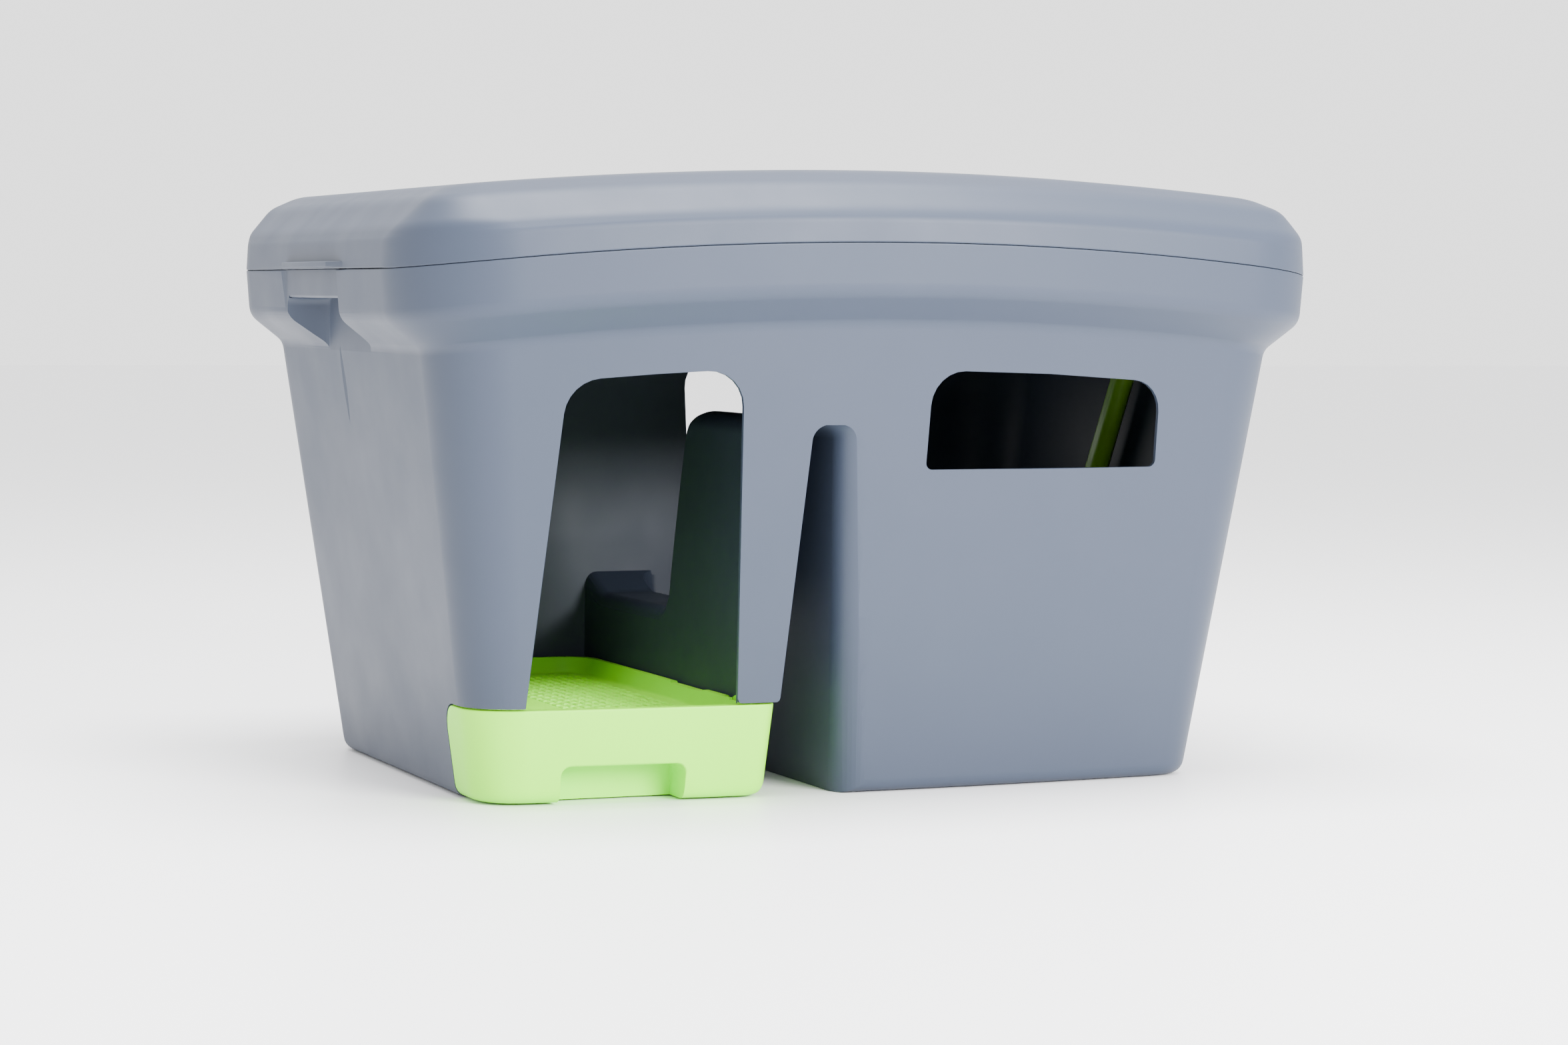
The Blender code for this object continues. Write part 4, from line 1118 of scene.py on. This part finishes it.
def make_grid():
    """A shallow drafted tray. Its rim lies on the drawer's walls, and its floor hangs inside them."""
    seat = DRAWER_BODY_HEIGHT + SEAT
    flange_inset = WALL + DRAWER_CLEARANCE
    tray_inset = flange_inset + DRAWER_WALL + GRID_PLAY
    top = seat + GRID_RIM
    floor_z = top - GRID_DEPTH
    edge = EDGE_REACH
    flange = [
        (drawer_ring(seat, flange_inset + edge), 0),
        (drawer_ring(seat, flange_inset), edge / 2),
        (drawer_ring(top, flange_inset), edge),
        (drawer_ring(top, flange_inset + edge), 0),
    ]
    grid = loft("grid_moulding", soft_section(flange, 4))
    trunk = [
        (drawer_ring(floor_z - GRID_FLOOR, tray_inset + GRID_DRAFT + GRID_DEPTH / 2), 0),
        (drawer_ring(floor_z - GRID_FLOOR, tray_inset + GRID_DRAFT), edge * 2),
        (drawer_ring(seat + GRID_RIM / 2, tray_inset), 0),
    ]
    cut(grid, loft("trunk", soft_section(trunk, 4)), "UNION")
    hollow = [
        (drawer_ring(floor_z, tray_inset + GRID_DRAFT + GRID_FLOOR + GRID_DEPTH / 2), 0),
        (drawer_ring(floor_z, tray_inset + GRID_DRAFT + GRID_FLOOR), edge * 2),
        (drawer_ring(top, tray_inset + GRID_LIP_WIDTH), edge / 2),
        (drawer_ring(top + edge, tray_inset + GRID_LIP_WIDTH - edge), 0),
        (drawer_ring(top + PAST, tray_inset + GRID_LIP_WIDTH - edge), 0),
    ]
    cut(grid, loft("hollow", soft_section(hollow, 4)))
    front = prism("front", box_outline(-FAR, bay_rear() + DRAWER_GAP, 0.0, BAY_HEIGHT), "X", -FAR, 0.0)
    kept = loft("kept", [drawer_ring(z, tray_inset) for z in (-WALL, BAY_HEIGHT + WALL)])
    cut(front, kept)
    cut(grid, front)
    low = top - GRID_NOTCH_DEPTH
    inner_right = slot_edges(seat)[0] - tray_inset - WALL
    for y_low, y_high in GRID_NOTCHES:
        outline = [
            (y_low, BAY_HEIGHT),
            (y_low + GRID_NOTCH_DEPTH, low),
            (y_high - GRID_NOTCH_DEPTH, low),
            (y_high, BAY_HEIGHT),
        ]
        cut(grid, prism("rim_notch", outline, "X", inner_right, 0.0))
    cut(grid, grid_pads(floor_z, tray_inset + GRID_DRAFT + GRID_FLOOR), "UNION")
    smooth(grid)
    return grid


# Scoop


def oval(half_x, half_y, steps=16):
    turns = [2 * math.pi * i / steps for i in range(steps)]
    return [(half_x * math.cos(turn), half_y * math.sin(turn)) for turn in turns]


def scoop_grip_rings():
    """An oval grip that hangs down from its eye at the origin, with a collar at its lower end."""
    half_x = SCOOP_GRIP_THICKNESS / 2
    half_y = SCOOP_GRIP_WIDTH / 2
    top = SCOOP_GRIP_WIDTH * 0.6
    low = -SCOOP_GRIP_LENGTH - SCOOP_NECK_LENGTH
    sections = [
        (low - SCOOP_WALL, 0.70, 0.80),
        (mix(low, -SCOOP_GRIP_LENGTH, 0.6), 0.9, 0.9),
        (-SCOOP_GRIP_LENGTH - SCOOP_COLLAR, 1.0, 0.97),
        (-SCOOP_GRIP_LENGTH - SCOOP_COLLAR * 0.5, 1 + SCOOP_COLLAR / half_x, 1 + SCOOP_COLLAR / half_y),
        (-SCOOP_GRIP_LENGTH + SCOOP_COLLAR * 0.5, 1 + SCOOP_COLLAR / half_x, 1 + SCOOP_COLLAR / half_y),
        (-SCOOP_GRIP_LENGTH + SCOOP_COLLAR, 1.0, 1.0),
        (-SCOOP_GRIP_LENGTH * 0.5, 1.0, 0.97),
        (0.0, 1.0, 1.0),
        (top * 0.65, 0.92, 0.86),
        (top * 0.90, 0.75, 0.66),
        (top, 0.50, 0.42),
    ]
    rings = []
    for z, share_x, share_y in sections:
        outline = oval(half_x * share_x, half_y * share_y, 48)
        creased = [(x * (1 - 0.10 * math.exp(-((y / half_y) ** 2) * 14)), y) for x, y in outline]
        rings.append([Vector((x, y, z)) for x, y in creased])
    return rings


def scoop_head(inward, reach_out):
    top = -SCOOP_GRIP_LENGTH - SCOOP_NECK_LENGTH - inward
    low = top - SCOOP_HEAD_LENGTH + 2 * inward
    half = SCOOP_HEAD_WIDTH / 2 - inward
    back = SCOOP_GRIP_THICKNESS / 2 - inward
    shoulder = SCOOP_HEAD_LENGTH * 0.18
    outline = rounded(
        [
            (-half * 0.9, low, SMALLEST_RADIUS * 3),
            (half * 0.9, low, SMALLEST_RADIUS * 3),
            (half, top - shoulder, SMALLEST_RADIUS * 3),
            (half * 0.4, top, SMALLEST_RADIUS * 2),
            (-half * 0.4, top, SMALLEST_RADIUS * 2),
            (-half, top - shoulder, SMALLEST_RADIUS * 3),
        ],
        steps=6,
    )
    outer = back - SCOOP_HEAD_DEPTH - reach_out
    if inward:
        return prism("head_hollow", outline, "X", outer, back)
    soft = SCOOP_WALL * 0.4
    rings = []
    nearly = soft * SOFT_MIDDLE
    section = ((outer, soft), (outer + soft, 0), (back - soft, 0), (back - nearly, nearly), (back, soft))
    for x, inset in section:
        rings.append([Vector((x, y, z)) for y, z in grown(outline, -inset)])
    return loft("head", rings, "flat")


def make_scoop():
    scoop = loft("scoop_moulding", divided(scoop_grip_rings(), 0.02), "flat")
    head = scoop_head(0.0, 0.0)
    cut(head, scoop_head(SCOOP_WALL, SCOOP_WALL))
    top = -SCOOP_GRIP_LENGTH - SCOOP_NECK_LENGTH
    back = SCOOP_GRIP_THICKNESS / 2
    pitch = SCOOP_HEAD_WIDTH * 0.82 / SCOOP_SLOTS
    for i in range(SCOOP_SLOTS):
        y = (i - (SCOOP_SLOTS - 1) / 2) * pitch
        half = SCOOP_SLOT_WIDTH / 2
        low = top - SCOOP_HEAD_LENGTH + 4 * SCOOP_WALL
        high = top - SCOOP_HEAD_LENGTH * 0.3
        outline = rounded([(a, b, half * 0.9) for a, b in box_outline(y - half, y + half, low, high)], 5)
        cut(head, prism("head_slot", outline, "X", back - 3 * SCOOP_WALL, back + SCOOP_WALL))
    cut(scoop, head, "UNION")
    shape = bmesh.new()
    bmesh.ops.create_cone(
        shape,
        cap_ends=True,
        segments=40,
        radius1=SCOOP_EYE_RADIUS,
        radius2=SCOOP_EYE_RADIUS,
        depth=SCOOP_GRIP_THICKNESS * 2,
        matrix=Matrix.Rotation(math.pi / 2, 4, "Y"),
    )
    cut(scoop, mesh_object("eye", shape))
    lean_room = SCOOP_GRIP_THICKNESS / 2 * math.tan(SCOOP_LEAN)
    hang = peg_centre() - Vector((PEG_LENGTH / 2, 0, 0))
    drop = Vector((0, 0, -(SCOOP_EYE_RADIUS - PEG_RADIUS - lean_room - SEAT)))
    turn = Matrix.Rotation(SCOOP_LEAN, 4, "Y") @ Matrix.Rotation(SCOOP_TILT, 4, "X")
    scoop.data.transform(Matrix.Translation(hang + drop) @ turn)
    smooth(scoop)
    return scoop


# Materials


def plastic(name, colour, roughness, grain):
    """Moulded polypropylene: a fine spark-eroded grain, slight sheen changes and faint cloudiness."""
    material = bpy.data.materials.new(name)
    material.use_nodes = True
    nodes = material.node_tree.nodes
    link = material.node_tree.links.new
    shader = nodes["Principled BSDF"]
    shader.inputs["IOR"].default_value = 1.49
    shader.inputs["Specular IOR Level"].default_value = 0.3
    place = nodes.new("ShaderNodeTexCoord").outputs["Object"]

    def noise(scale, detail=2.0):
        made = nodes.new("ShaderNodeTexNoise")
        made.inputs["Scale"].default_value = scale
        made.inputs["Detail"].default_value = detail
        link(place, made.inputs["Vector"])
        return made.outputs["Fac"]

    def ramp(source, low, high, first, second):
        made = nodes.new("ShaderNodeMapRange")
        made.inputs["From Min"].default_value = low
        made.inputs["From Max"].default_value = high
        made.inputs["To Min"].default_value = first
        made.inputs["To Max"].default_value = second
        link(source, made.inputs["Value"])
        return made.outputs["Result"]

    cloud = ramp(noise(5.0, 3.0), 0.35, 0.65, 0.985, 1.015)
    tint = nodes.new("ShaderNodeVectorMath")
    tint.operation = "SCALE"
    tint.inputs[0].default_value = colour
    link(cloud, tint.inputs["Scale"])
    link(tint.outputs["Vector"], shader.inputs["Base Color"])
    gloss = ramp(noise(18.0, 4.0), 0.3, 0.7, roughness - 0.03, roughness + 0.04)
    link(gloss, shader.inputs["Roughness"])
    fine = nodes.new("ShaderNodeBump")
    fine.inputs["Strength"].default_value = grain
    fine.inputs["Distance"].default_value = 0.00012
    link(noise(1400.0, 2.0), fine.inputs["Height"])
    wavy = nodes.new("ShaderNodeBump")
    wavy.inputs["Strength"].default_value = 0.08
    wavy.inputs["Distance"].default_value = 0.002
    link(noise(9.0, 1.0), wavy.inputs["Height"])
    link(wavy.outputs["Normal"], fine.inputs["Normal"])
    link(fine.outputs["Normal"], shader.inputs["Normal"])
    return material


def set_material(piece, material):
    piece.data.materials.clear()
    piece.data.materials.append(material)


# Stage


def make_stage():
    bpy.ops.mesh.primitive_plane_add(size=30.0, location=(0, 0, -0.0004))
    floor = bpy.context.object
    floor.name = "floor"
    material = bpy.data.materials.new("floor")
    material.use_nodes = True
    shader = material.node_tree.nodes["Principled BSDF"]
    shader.inputs["Base Color"].default_value = (0.93, 0.93, 0.94, 1.0)
    shader.inputs["Roughness"].default_value = 0.42
    floor.data.materials.append(material)
    world = bpy.data.worlds.new("studio")
    world.use_nodes = True
    backdrop = world.node_tree.nodes["Background"]
    backdrop.inputs["Color"].default_value = (1.0, 1.0, 1.0, 1.0)
    backdrop.inputs["Strength"].default_value = 2.2
    bpy.context.scene.world = world


def add_light(name, place, target, size, power, spread=180):
    lamp = bpy.data.lights.new(name, "AREA")
    lamp.shape = "RECTANGLE"
    lamp.size = size[0]
    lamp.size_y = size[1]
    lamp.energy = power
    lamp.spread = math.radians(spread)
    made = bpy.data.objects.new(name, lamp)
    bpy.context.scene.collection.objects.link(made)
    made.location = place
    made.rotation_euler = (Vector(target) - Vector(place)).to_track_quat("-Z", "Y").to_euler()


def make_camera():
    """Stands in front of the box's left end, a little under half a metre up."""
    place = Vector((-1.0414, -2.5792, 0.3523))
    yaw = 0.38914
    pitch = 0.06114
    roll = -0.008
    ahead = Vector((math.sin(yaw) * math.cos(pitch), math.cos(yaw) * math.cos(pitch), -math.sin(pitch)))
    right = Vector((math.cos(yaw), -math.sin(yaw), 0))
    down = ahead.cross(right)
    turned_right = math.cos(roll) * right + math.sin(roll) * down
    turned_down = -math.sin(roll) * right + math.cos(roll) * down
    camera = bpy.data.cameras.new("camera")
    camera.sensor_width = 36.0
    camera.lens = 84.63
    made = bpy.data.objects.new("camera", camera)
    bpy.context.scene.collection.objects.link(made)
    turn = Matrix((turned_right, -turned_down, -ahead)).transposed().to_4x4()
    made.matrix_world = Matrix.Translation(place) @ turn
    bpy.context.scene.camera = made


PIECES = (
    (make_tub, "tub", "grey_plastic"),
    (make_lid, "lid", "grey_plastic"),
    (make_drawer, "drawer", "lime_plastic"),
    (make_grid, "grid", "lime_plastic"),
    (make_scoop, "scoop", "green_plastic"),
)

materials = {
    "grey_plastic": plastic("grey_plastic", GREY, roughness=0.48, grain=0.25),
    "lime_plastic": plastic("lime_plastic", LIME, roughness=0.42, grain=0.20),
    "green_plastic": plastic("green_plastic", GREEN, roughness=0.38, grain=0.20),
}

for make, node, slot in PIECES:
    piece = make()
    set_material(piece, materials[slot])
    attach(piece, node)
    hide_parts(node)

make_stage()
add_light("key", (1.0, -3.0, 1.25), (-0.1, 0, 0.2), (1.6, 1.2), 300)
add_light("top", (0.0, -0.2, 2.6), (0, 0, 0.4), (2.0, 1.4), 210)
add_light("tray", (-0.17, -0.04, 0.31), (-0.17, -0.04, 0.0), (0.12, 0.26), 0.32, 60)
make_camera()
